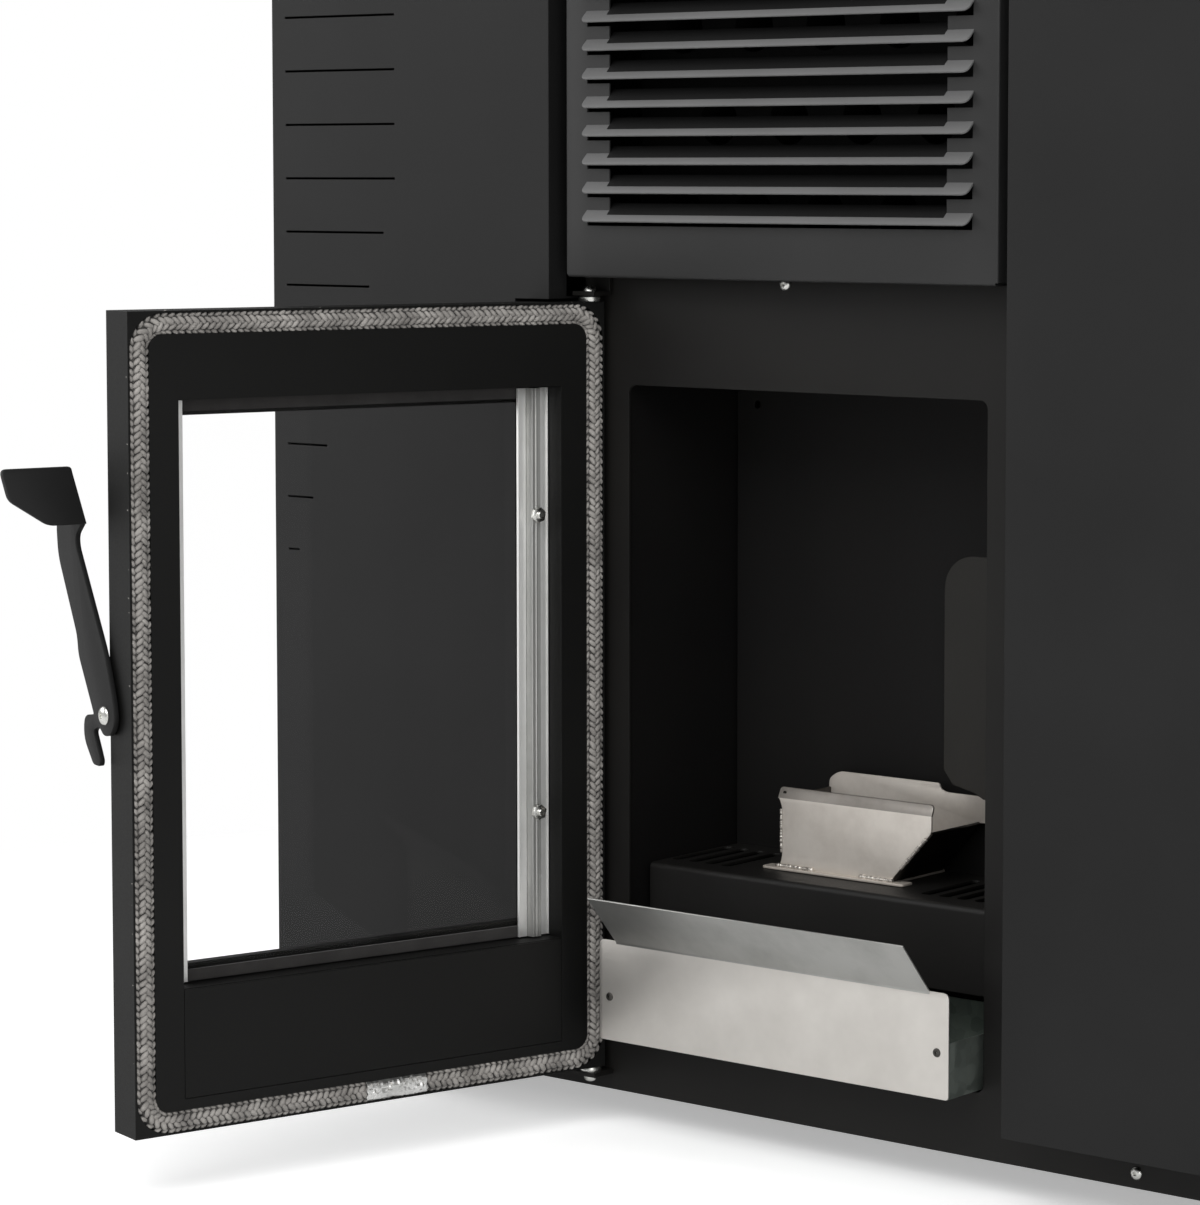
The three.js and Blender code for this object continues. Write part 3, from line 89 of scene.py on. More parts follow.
def add_node(tree: Tree, kind: str, settings: Optional[dict[str, Any]] = None,
             links: Optional[dict[Any, Any]] = None) -> bpy.types.Node:
    """Adds a node, sets its properties or sockets, and links other nodes' outputs to it.

    Args:
        tree: the material's or world's node tree.
        kind: the shader node's type, such as TexNoise.
        settings: property or input socket names with their values.
        links: input socket names or numbers with the output, or the node's first one, that feeds each.

    Returns:
        The new node.
    """
    node = tree.nodes.new("ShaderNode" + kind)
    for name, value in (settings or {}).items():
        if isinstance(name, int) or name in node.inputs:
            node.inputs[name].default_value = value
        else:
            setattr(node, name, value)
    for name, output in (links or {}).items():
        source = output if isinstance(output, Socket) else output.outputs[0]
        tree.links.new(source, node.inputs[name])
    return node


def new_tree(name: str) -> tuple[bpy.types.Material, Tree, Socket]:
    """Makes a node material that holds only the object's own coordinates.

    Args:
        name: the material's name.

    Returns:
        The material, its node tree and the coordinates' output.
    """
    material = bpy.data.materials.new(name)
    material.use_nodes = True
    tree = material.node_tree
    tree.nodes.clear()
    return material, tree, add_node(tree, "TexCoord").outputs["Object"]


def per_metre(size_mm: float) -> float:
    """Returns the texture scale that gives features of this size."""
    return METRE / size_mm


def spread(tree: Tree, factor: Source, stops: Sequence[tuple[float, str]]) -> Socket:
    """Runs a factor through a colour ramp.

    Args:
        tree: the node tree.
        factor: what drives the ramp.
        stops: positions from 0 to 1 with their sRGB colours.

    Returns:
        The ramp's colour output.
    """
    ramp = add_node(tree, "ValToRGB", links={"Fac": factor})
    elements = ramp.color_ramp.elements
    while len(elements) < len(stops):
        elements.new(0.5)
    for element, (position, code) in zip(elements, stops):
        element.position = position
        element.color = linear(code)
    return ramp.outputs["Color"]


def span(tree: Tree, factor: Source, low: float, high: float,
         from_low: float = 0.3, from_high: float = 0.7) -> Socket:
    """Maps a factor to a range of plain numbers.

    Args:
        tree: the node tree.
        factor: what is mapped.
        low: the number at from_low.
        high: the number at from_high.
        from_low: the factor that gives low.
        from_high: the factor that gives high.

    Returns:
        The mapped output.
    """
    limits = {"From Min": from_low, "From Max": from_high, "To Min": low, "To Max": high}
    return add_node(tree, "MapRange", limits, {"Value": factor}).outputs["Result"]


# ---------------------------------------------------------------- finishes
@dataclass(frozen=True)
class PowderCoat:
    """Baked powder paint on sheet steel: fine orange peel, a soft sheen and faint cloudiness."""

    name: str
    colour: str
    deep_colour: str
    roughness: float = 0.5
    peel_mm: float = 0.9
    peel_depth: float = 0.12
    edge_mm: float = 0.5
    specular: float = 0.5
    clouds: float = 7.0

    def build(self) -> bpy.types.Material:
        """Builds the material."""
        material, tree, place = new_tree(self.name)
        # broad clouds keep a large flat panel from looking like one flat fill
        clouds = add_node(tree, "TexNoise", {"Scale": self.clouds, "Detail": 3.0}, {"Vector": place})
        colour = spread(tree, clouds, [(0.35, self.deep_colour), (0.65, self.colour)])
        # the orange peel breaks up highlights at the size of the powder grain
        peel = add_node(tree, "TexNoise",
                        {"Scale": per_metre(self.peel_mm), "Detail": 2.0, "Roughness": 0.55},
                        {"Vector": place})
        # a rounded normal at folds gives each sheet edge its thin light line
        rounded = add_node(tree, "Bevel", {"samples": EDGE_RAYS, "Radius": self.edge_mm / METRE})
        bump = add_node(tree, "Bump", {"Strength": self.peel_depth, "Distance": BUMP_HEIGHT},
                        {"Height": peel, "Normal": rounded})
        rough = span(tree, peel, self.roughness - 0.05, self.roughness + 0.06)
        surface = add_node(tree, "BsdfPrincipled", {"IOR": 1.5, "Specular IOR Level": self.specular},
                           {"Base Color": colour, "Roughness": rough, "Normal": bump})
        add_node(tree, "OutputMaterial", links={"Surface": surface})
        return material


@dataclass(frozen=True)
class BareSheet:
    """Bare metal sheet: rolled or brushed along one axis, with smudges and an optional heat tint."""

    name: str
    colour: str
    dark_colour: str
    roughness: float = 0.32
    grain: Point = (1.0, 1.0, 1.0)
    grain_mm: float = 0.35
    smudge_mm: float = 45.0
    metallic: float = 1.0
    tint: Optional[tuple[str, float, float]] = None
    edge_mm: float = 0.3
    line_depth: float = 0.1

    def build(self) -> bpy.types.Material:
        """Builds the material."""
        material, tree, place = new_tree(self.name)
        drawn = add_node(tree, "Mapping", {"Scale": self.grain}, {"Vector": place})
        # fine lines from rolling, drawn out along the grain
        lines = add_node(tree, "TexNoise",
                         {"Scale": per_metre(self.grain_mm), "Detail": 3.0, "Roughness": 0.6},
                         {"Vector": drawn})
        # smudges and handling marks change the sheen in patches
        smudge = add_node(tree, "TexNoise",
                          {"Scale": per_metre(self.smudge_mm), "Detail": 4.0, "Roughness": 0.62},
                          {"Vector": place})
        colour = spread(tree, smudge, [(0.3, self.dark_colour), (0.62, self.colour)])
        if self.tint:
            code, low, high = self.tint
            height = add_node(tree, "SeparateXYZ", links={"Vector": place}).outputs["Z"]
            near = span(tree, height, 0.85, 0.0, low, high)
            # straw and brown oxide where the flame heats the steel
            mixed = add_node(tree, "Mix", {"data_type": "RGBA"}, {0: near, 6: colour})
            mixed.inputs[7].default_value = linear(code)
            colour = mixed.outputs[2]
        rough = span(tree, smudge, self.roughness + 0.09, self.roughness - 0.05)
        # cut edges are eased a little, so that they catch a thin light line
        edge = add_node(tree, "Bevel", {"samples": EDGE_RAYS, "Radius": self.edge_mm / METRE})
        bump = add_node(tree, "Bump", {"Strength": self.line_depth, "Distance": BUMP_HEIGHT / 2},
                        {"Height": lines, "Normal": edge})
        surface = add_node(tree, "BsdfPrincipled", {"Metallic": self.metallic, "IOR": 2.5},
                           {"Base Color": colour, "Roughness": rough, "Normal": bump})
        add_node(tree, "OutputMaterial", links={"Surface": surface})
        return material


@dataclass(frozen=True)
class Spangle:
    """Hot-dip zinc coating: dull crystals of slightly different grey over a soft metal sheen."""

    name: str
    colour: str
    dark_colour: str
    crystal_mm: float = 7.0
    roughness: float = 0.4
    metallic: float = 0.9
    film: float = 0.6

    def build(self) -> bpy.types.Material:
        """Builds the material."""
        material, tree, place = new_tree(self.name)
        # each crystal of zinc takes its own grey and its own sheen
        crystals = add_node(tree, "TexVoronoi", {"Scale": per_metre(self.crystal_mm)}, {"Vector": place})
        grey = add_node(tree, "SeparateColor", links={"Color": crystals.outputs["Color"]})
        film = add_node(tree, "TexNoise", {"Scale": 26.0, "Detail": 4.0}, {"Vector": place})
        colour = spread(tree, grey, [(0.0, self.dark_colour), (1.0, self.colour)])
        stain = spread(tree, film, [(0.3, "d8d8d4"), (0.7, "ffffff")])
        # a thin uneven film of oxide dulls the crystals in patches
        veil = add_node(tree, "Mix", {"data_type": "RGBA", "blend_type": "MULTIPLY"},
                        {6: colour, 7: stain})
        veil.inputs[0].default_value = self.film
        rough = span(tree, grey, self.roughness - 0.08, self.roughness + 0.1, 0.0, 1.0)
        bump = add_node(tree, "Bump", {"Strength": 0.08, "Distance": BUMP_HEIGHT},
                        {"Height": film})
        surface = add_node(tree, "BsdfPrincipled", {"Metallic": self.metallic, "IOR": 2.0},
                           {"Base Color": veil.outputs[2], "Roughness": rough, "Normal": bump})
        add_node(tree, "OutputMaterial", links={"Surface": surface})
        return material


@dataclass(frozen=True)
class GlassFibre:
    """Braided glass fibre: pale grey yarn with fine filaments, darker and browner between strands, where
    shade is painted in.
    """

    name: str
    colour: str
    shade_colour: str
    filament_mm: float = 0.5
    crease_mm: float = 3.0

    def build(self) -> bpy.types.Material:
        """Builds the material."""
        material, tree, place = new_tree(self.name)
        yarn = add_node(tree, "TexNoise",
                        {"Scale": per_metre(self.filament_mm), "Detail": 3.0, "Roughness": 0.7},
                        {"Vector": place})
        soot = add_node(tree, "TexNoise", {"Scale": 60.0, "Detail": 3.0}, {"Vector": place})
        # single yarns differ in grey, and handled stretches are darker
        blend = add_node(tree, "Math", {"operation": "MULTIPLY_ADD", 1: 0.5},
                         {0: yarn, 2: span(tree, soot, 0.1, 0.5)})
        colour = spread(tree, blend, [(0.15, self.shade_colour), (0.8, self.colour)])
        # creases between strands are in shade
        reach = self.crease_mm / METRE
        crease = add_node(tree, "AmbientOcclusion", {"samples": EDGE_RAYS, "Distance": reach},
                          {"Color": colour})
        bump = add_node(tree, "Bump", {"Strength": 0.5, "Distance": BUMP_HEIGHT * 2},
                        {"Height": yarn})
        surface = add_node(tree, "BsdfPrincipled",
                           {"Roughness": 0.85, "IOR": 1.5, "Sheen Weight": 0.15, "Sheen Roughness": 0.5},
                           {"Base Color": crease, "Normal": bump})
        add_node(tree, "OutputMaterial", links={"Surface": surface})
        return material


@dataclass(frozen=True)
class CeramicGlass:
    """Clear heat-proof glass with a faint mirror that grows towards the side."""

    name: str
    colour: str
    roughness: float = 0.01
    ior: float = 1.12

    def build(self) -> bpy.types.Material:
        """Builds the material."""
        material, tree, place = new_tree(self.name)
        haze = add_node(tree, "TexNoise", {"Scale": 9.0, "Detail": 4.0}, {"Vector": place})
        # a wiped pane is a touch less clear in streaks
        rough = span(tree, haze, self.roughness, self.roughness + 0.03)
        clear = add_node(tree, "BsdfTransparent", {"Color": linear(self.colour)})
        gloss = add_node(tree, "BsdfPrincipled", {"Metallic": 1.0, "Base Color": linear("ffffff")},
                         {"Roughness": rough})
        # the pane mirrors more as it is seen more from the side
        mirror = add_node(tree, "Fresnel", {"IOR": self.ior})
        both = add_node(tree, "MixShader",
                        links={0: mirror, 1: clear, 2: gloss})
        add_node(tree, "OutputMaterial", links={"Surface": both})
        return material


@dataclass(frozen=True)
class Moulding:
    """Moulded plastic, rubber or die-cast metal: one colour, a fine grain and worn sheen."""

    name: str
    colour: str
    dark_colour: str
    roughness: float = 0.5
    grain_mm: float = 0.4
    metallic: float = 0.0
    grain_depth: float = 0.2
    coat: float = 0.0

    def build(self) -> bpy.types.Material:
        """Builds the material."""
        material, tree, place = new_tree(self.name)
        grain = add_node(tree, "TexNoise",
                         {"Scale": per_metre(self.grain_mm), "Detail": 2.0}, {"Vector": place})
        wear = add_node(tree, "TexNoise", {"Scale": 30.0, "Detail": 3.0}, {"Vector": place})
        colour = spread(tree, wear, [(0.35, self.dark_colour), (0.65, self.colour)])
        rough = span(tree, wear, self.roughness - 0.05, self.roughness + 0.07)
        # the mould's etched grain, fine enough to read as matt
        bump = add_node(tree, "Bump", {"Strength": self.grain_depth, "Distance": BUMP_HEIGHT},
                        {"Height": grain})
        surface = add_node(tree, "BsdfPrincipled",
                           {"Metallic": self.metallic, "IOR": 1.5, "Coat Weight": self.coat},
                           {"Base Color": colour, "Roughness": rough, "Normal": bump})
        add_node(tree, "OutputMaterial", links={"Surface": surface})
        return material


class Slot(Enum):
    """The record's material slots that the pieces made here belong to."""

    GRILLE = "grille_paint"
    STOVE = "stove_paint"
    STAINLESS = "stainless"
    GALVANISED = "galvanised"
    ZINC = "zinc"
    ROPE = "rope_fibre"
    FOIL = "foil"


class Body(Enum):
    """The bodies of the frame that pieces ride on."""

    STOVE = "stove"
    DOOR = "door"
    HANDLE = "handle"
    DRAWER = "ash_drawer"


@dataclass
class Palette:
    """Every finish of the stove, built once and handed to the pieces."""

    made: dict[str, bpy.types.Material] = field(default_factory=dict)

    FINISHES = {
        "casing": PowderCoat("casing satin black powder coat", "1a1a1a", "161616", 0.5, 0.9, 0.1, 0.8, 0.25),
        "grille": PowderCoat("grille satin graphite powder coat",
                             "272727", "232323", 0.42, 0.7, 0.1, 0.5, 0.35),
        # painted light: the flaps carry the panel's graphite paint lightened, standing in for the light from
        # above on their upward faces
        "flap": PowderCoat("louvre flap satin graphite powder coat",
                           "686868", "606060", 0.4, 0.7, 0.14, 0.4, 0.5),
        # painted shade: the strips carry the panel's graphite paint darkened to near black for the shadow
        # cast by the flap above
        "strip": PowderCoat("louvre strip graphite powder coat darkened as painted shade",
                            "0b0b0b", "080808", 0.6, 0.7, 0.1, 0.4, 0.15),
        "plate": PowderCoat("front plate satin powder coat", "151412", "100f0e", 0.5, 0.9, 0.12, 0.6, 0.25),
        "firebox": PowderCoat("firebox matt heat-proof paint", "0f0e0d", "0b0a0a", 0.6, 1.4, 0.2, 0.8, 0.22),
        "deflector": PowderCoat("deflector matt heat-proof paint",
                                "211f1c", "1b1a17", 0.5, 1.2, 0.15, 0.8, 0.3),
        # the exchanger's near black is partly its dark paint and partly painted shade of the stove's inside,
        # seen through the slots
        "inside": PowderCoat("exchanger dark paint deepened as painted shade", "060606", "040404", 0.75, 1.4, 0.2, 0.8, 0.12),
        "door": PowderCoat("door matt heat-proof paint", "0d0d0c", "090908", 0.5, 1.0, 0.12, 0.6, 0.22),
        "tray": PowderCoat("tray matt heat-proof paint", "151412", "100f0e", 0.5, 1.2, 0.2, 1.2, 0.35),
        "lever": PowderCoat("handle textured powder coat", "161616", "121212", 0.55, 0.7, 0.25, 0.6, 0.3),
        "pot": BareSheet("burn pot stainless steel with heat tint", "dad3ca", "c9c1b8", 0.46,
                         (0.05, 1.0, 1.0), 0.4, 30.0, 0.5, ("b5aca1", 0.190, 0.200)),
        "weld": BareSheet("weld bead", "d8d2ca", "4e4740", 0.3, (1.0, 1.0, 1.0), 0.6, 3.0, 0.8),
        # the bent lip takes a darker copy of the pot's steel than the faces
        "pot_lip": BareSheet("burn pot lip steel darker than the faces",
                             "8d8780", "7a746d", 0.42, (0.05, 1.0, 1.0), 0.4, 25.0,
                             0.6),
        # painted shade and painted reflection: the sloped wall faces down into shadow and mirrors the dark
        # tray, so its steel is painted dark; the left wall and the dimple for the lip's hole take the same
        # finish
        "pot_wall": BareSheet("burn pot wall steel darkened as painted shade",
                              "3a3733", "24211e", 0.42, (1.0, 0.05, 1.0), 0.5, 20.0),
        "front": BareSheet("drawer front rolled steel",
                           "e3dfd9", "d6d2cc", 0.34, (0.04, 1.0, 1.0), 0.3, 70.0, 0.85),
        # painted shade: the lip is the front's own sheet, darker because it faces down and out
        "front_lip_shaded": BareSheet("drawer lip rolled steel darkened as painted shade",
                               "aeaeab", "9a9a97", 0.34, (0.04, 1.0, 1.0), 0.3, 60.0,
                               0.8),
        "steel": BareSheet("machined stainless steel", "c0bdb8", "a3a09a", 0.3, (1.0, 1.0, 0.2), 0.3, 20.0),
        "zinc": BareSheet("bright zinc plated steel", "e6e6e2", "c9c9c4", 0.24, (1.0, 1.0, 1.0), 0.5, 6.0),
        "rivet": BareSheet("blackened rivet", "5c5a57", "3d3b38", 0.35, (1.0, 1.0, 1.0), 0.5, 4.0),
        "foil": BareSheet("crinkled aluminium foil tape", "f0f0ee", "d6d6d4", 0.3, (1.0, 1.0, 1.0), 1.5, 9.0),
        "clamp": BareSheet("clamp bright galvanised strip",
                           "ececea", "dcdcd9", 0.4, (1.0, 1.0, 0.03), 0.4, 60.0,
                           0.5),
        # painted reflection: the rib is the clamp's own strip, darker because its slopes mirror darker
        # surroundings than the flanges
        "clamp_rib_painted_reflection": BareSheet("clamp rolled rib with painted darker reflection", "b2b2af", "a3a3a0", 0.4, (1.0, 1.0, 0.03), 0.4, 60.0, 0.6),
        "box": Spangle("drawer box galvanised sheet", "9fa8a1", "868f89", 8.0, 0.45, 0.7),
        "duct": Spangle("duct galvanised sheet", "c8cac8", "a5a8a7", 9.0, 0.42, 0.85),
        "rope": GlassFibre("glass fibre rope yarn", "b2aea9", "45413e", 0.4),
        # painted shade: the core is the rope's own yarn darkened so that the gaps between loops read as
        # shaded
        "rope_core_shaded": GlassFibre("glass fibre rope core darkened as painted shade", "4c4946", "2a2826", 0.8),
        "tape": GlassFibre("glass fibre ladder tape", "32302f", "1d1b1a", 0.5),
        "pane": CeramicGlass("ceramic glass pane", "ffffff"),
        "plastic": Moulding("black moulded plastic", "1b1b1b", "141414", 0.5, 0.4),
        "screen": Moulding("gloss black display window", "0b0c0d", "070808", 0.12, 1.5, 0.0, 0.02, 0.6),
        "rubber": Moulding("black moulded rubber", "171717", "101010", 0.75, 0.6, 0.0, 0.35),
        "cast": Moulding("die-cast aluminium", "a9abad", "8f9193", 0.45, 0.9, 0.9, 0.3),
    }

    def get(self, name: str) -> bpy.types.Material:
        """Returns the named finish, made on first use."""
        if name not in self.made:
            self.made[name] = self.FINISHES[name].build()
        return self.made[name]


# ---------------------------------------------------------------- places and meshes
@dataclass(frozen=True)
class DoorSizes:
    """The shut door as drawn; what hangs on it is worked out from these."""

    left: float = -190.6
    width: float = 379.6
    bottom: float = 42.8
    top: float = 598.4
    back: float = 29.5
    open_deg: float = 105.8
    hinge_inset: float = 8.0
    hinge_y: float = 22.5
    rope_rim: float = 1.8
    rope_width: float = 13.4
    recess_inset: float = 37.3
    lever_gap: float = 1.2
    bolt_depth: float = 29.0
    bolt_z: float = 327.0
    nut_heights: tuple[float, float] = (232.7, 446.8)

    @property
    def right(self) -> float:
        """The free edge."""
        return self.left + self.width

    @property
    def hinge_x(self) -> float:
        """The hinge pin's place across the stove."""
        return self.left + self.hinge_inset

    @property
    def bolt_y(self) -> float:
        """The handle bolt's distance from the grille's face."""
        return self.back - self.bolt_depth

    @property
    def lever_x(self) -> float:
        """The near face of the handle's plate."""
        return self.right + self.lever_gap


DOOR = DoorSizes()


@dataclass(frozen=True)
class Place:
    """Carries drawing millimetres to the frame, and a shut door's pieces to the open door."""

    flue_end: float = 322.0

    def base(self) -> Matrix:
        """Matrix from drawing millimetres to frame metres."""
        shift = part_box("flue_outlet")[1][1] - self.flue_end / METRE
        return Matrix.Translation((0, shift, 0)) @ Matrix.Scale(1 / METRE, 4)

    def door(self) -> Matrix:
        """Matrix from the shut door's drawing millimetres to frame metres with the door open."""
        hinge = Vector((DOOR.hinge_x, DOOR.hinge_y, 0))
        turn = Matrix.Rotation(math.radians(-DOOR.open_deg), 4, "Z")
        return self.base() @ Matrix.Translation(hinge) @ turn @ Matrix.Translation(-hinge)


def put(name: str, data: Any) -> bpy.types.Object:
    """Makes an object and links it to the scene.

    Args:
        name: the object's name.
        data: its mesh, lamp or camera.

    Returns:
        The object.
    """
    made = bpy.data.objects.new(name, data)
    bpy.context.scene.collection.objects.link(made)
    return made


@dataclass
class Shop:
    """Turns meshes in drawing millimetres into pieces that ride on a body and stand for CAD nodes."""

    palette: Palette
    place: Place = field(default_factory=Place)

    def piece(self, name: str, mesh: Mesh, finish: str, slot: Slot, body: Body,
              replaces: Iterable[str] = (), smooth_deg: float = 35.0) -> bpy.types.Object:
        """Makes one piece of the stove.

        Args:
            name: the piece's name.
            mesh: its mesh in drawing millimetres; it is freed here.
            finish: the palette's name of its finish.
            slot: the record's slot that the finish belongs to; not used.
            body: the body it rides on.
            replaces: the CAD nodes it stands for.
            smooth_deg: edges flatter than this are shaded smooth.

        Returns:
            The new object.
        """
        on_door = body in (Body.DOOR, Body.HANDLE)
        mesh.transform(self.place.door() if on_door else self.place.base())
        bmesh.ops.recalc_face_normals(mesh, faces=mesh.faces)
        data = bpy.data.meshes.new(name)
        for face in mesh.faces:
            face.smooth = True
        for edge in mesh.edges:
            sharp = len(edge.link_faces) != 2 or edge.calc_face_angle(0.0) > math.radians(smooth_deg)
            edge.smooth = not sharp
        mesh.to_mesh(data)
        mesh.free()
        made = put(name, data)
        data.materials.append(self.palette.get(finish))
        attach(made, body.value)
        names = list(replaces)
        if names:
            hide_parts(*names)
        LOG.info("piece %s: %d faces on %s", name, len(data.polygons), body.value)
        return made

    def dress(self, finish: str, nodes: Iterable[str]) -> None:
        """Gives CAD nodes that stay in view a finish.

        Args:
            finish: the palette's name of the finish.
            nodes: the CAD nodes.
        """
        for name in nodes:
            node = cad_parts[name]
            material = self.palette.get(finish)
            if node.data.materials:
                for index in range(len(node.data.materials)):
                    node.material_slots[index].link = "OBJECT"
                    node.material_slots[index].material = material
            else:
                node.data.materials.append(material)
            LOG.info("node %s dressed as %s", name, material.name)


def skin(mesh: Mesh, rows: Sequence[Sequence[Vert]], closed: bool = False) -> None:
    """Joins neighbouring rows of vertices with quads.

    Args:
        mesh: the mesh that holds the vertices.
        rows: the rows, all of one length.
        closed: whether each row is a ring.
    """
    for low, high in zip(rows, rows[1:]):
        count = len(low)
        for i in range(count if closed else count - 1):
            j = (i + 1) % count
            mesh.faces.new((low[i], low[j], high[j], high[i]))


def thicken(mesh: Mesh, thickness: float, facing: float) -> None:
    """Turns a skin to face one way along Y and gives it a thickness.

    Args:
        mesh: the mesh.
        thickness: how thick it becomes.
        facing: 1 or -1, the sign of Y that it faces.
    """
    if sum(f.normal.y for f in mesh.faces) * facing < 0:
        bmesh.ops.reverse_faces(mesh, faces=mesh.faces)
    bmesh.ops.solidify(mesh, geom=mesh.faces, thickness=thickness)


def along_x(a: float, b: float, h: float) -> Point:
    """A (y, z) outline run along X."""
    return (h, a, b)


def along_y(a: float, b: float, h: float) -> Point:
    """An (x, z) outline run along Y."""
    return (a, h, b)


def along_z(a: float, b: float, h: float) -> Point:
    """An (x, y) outline run along Z."""
    return (a, b, h)


def block(x0: float, y0: float, x1: float, y1: float) -> list[Flat]:
    """Lists the corners of a rectangle."""
    return [(x0, y0), (x1, y0), (x1, y1), (x0, y1)]


def arc(centre: Flat, radius: float, start: float, end: float, steps: int) -> list[Flat]:
    """Points on an arc.

    Args:
        centre: the arc's centre.
        radius: its radius.
        start: the first angle in degrees.
        end: the last angle in degrees.
        steps: the number of chords.

    Returns:
        The points from start to end.
    """
    angles = [math.radians(start + (end - start) * i / steps) for i in range(steps + 1)]
    return [(centre[0] + radius * math.cos(a), centre[1] + radius * math.sin(a)) for a in angles]


def rounded(corners: Sequence[tuple[float, float, float]], steps: int = 5) -> list[Flat]:
    """Rounds the corners of a polygon.

    Args:
        corners: (a, b, radius) of each corner in order.
        steps: points on each rounded corner.

    Returns:
        The outline.
    """
    most, least = 0.49, 0.05
    outline: list[Flat] = []
    count = len(corners)
    for i, (a, b, radius) in enumerate(corners):
        here = Vector((a, b))
        before = Vector(corners[i - 1][:2]) - here
        after = Vector(corners[(i + 1) % count][:2]) - here
        reach = min(radius, most * before.length, most * after.length)
        if reach < least:
            outline.append((a, b))
            continue
        start, end = here + before.normalized() * reach, here + after.normalized() * reach
        for k in range(steps + 1):
            t = k / steps
            spot = start * (1 - t) ** 2 + here * (2 * t * (1 - t)) + end * t ** 2
            outline.append((spot.x, spot.y))
    return outline


def lathe(mesh: Mesh, profile: Sequence[Flat], frame_at: Matrix, sides: int = 32) -> None:
    """Adds a turned solid.

    Args:
        mesh: the mesh to add to.
        profile: (radius, height) pairs that start and end on the axis.
        frame_at: matrix whose Z axis is the solid's axis.
        sides: the number of sides.
    """
    rings: list[list[Vert]] = []
    for radius, height in profile:
        if not radius:
            rings.append([mesh.verts.new(frame_at @ Vector((0, 0, height)))])
            continue
        ring = []
        for i in range(sides):
            turn = 2 * math.pi * i / sides
            flat = (radius * math.cos(turn), radius * math.sin(turn))
            ring.append(mesh.verts.new(frame_at @ Vector((*flat, height))))
        rings.append(ring)
    for low, high in zip(rings, rings[1:]):
        for i in range(sides):
            j = (i + 1) % sides
            corners = [low[i % len(low)], low[j % len(low)], high[j % len(high)], high[i % len(high)]]
            unique = list(dict.fromkeys(corners))
            if len(unique) > 2:
                mesh.faces.new(unique)


def sheets(parts: Iterable[Part], ease: float, segments: int = 2, min_deg: float = 40.0) -> Mesh:
    """Builds flat parts in one mesh and rounds their sharp edges.

    Args:
        parts: the parts.
        ease: how far each edge is cut back.
        segments: steps of the rounding.
        min_deg: edges flatter than this stay.

    Returns:
        The mesh.
    """
    mesh = bmesh.new()
    for outline, low, high, to_space in parts:
        rings = [[mesh.verts.new(to_space(a, b, h)) for a, b in outline] for h in (low, high)]
        skin(mesh, rings, closed=True)
        mesh.faces.new(rings[0][::-1])
        mesh.faces.new(rings[1])
    mesh.normal_update()
    limit = math.radians(min_deg)
    edges = [e for e in mesh.edges if len(e.link_faces) == 2 and e.calc_face_angle(0.0) > limit]
    bmesh.ops.bevel(mesh, geom=edges, offset=ease, offset_type="OFFSET", segments=segments,
                    profile=0.5, affect="EDGES", clamp_overlap=True)
    return mesh


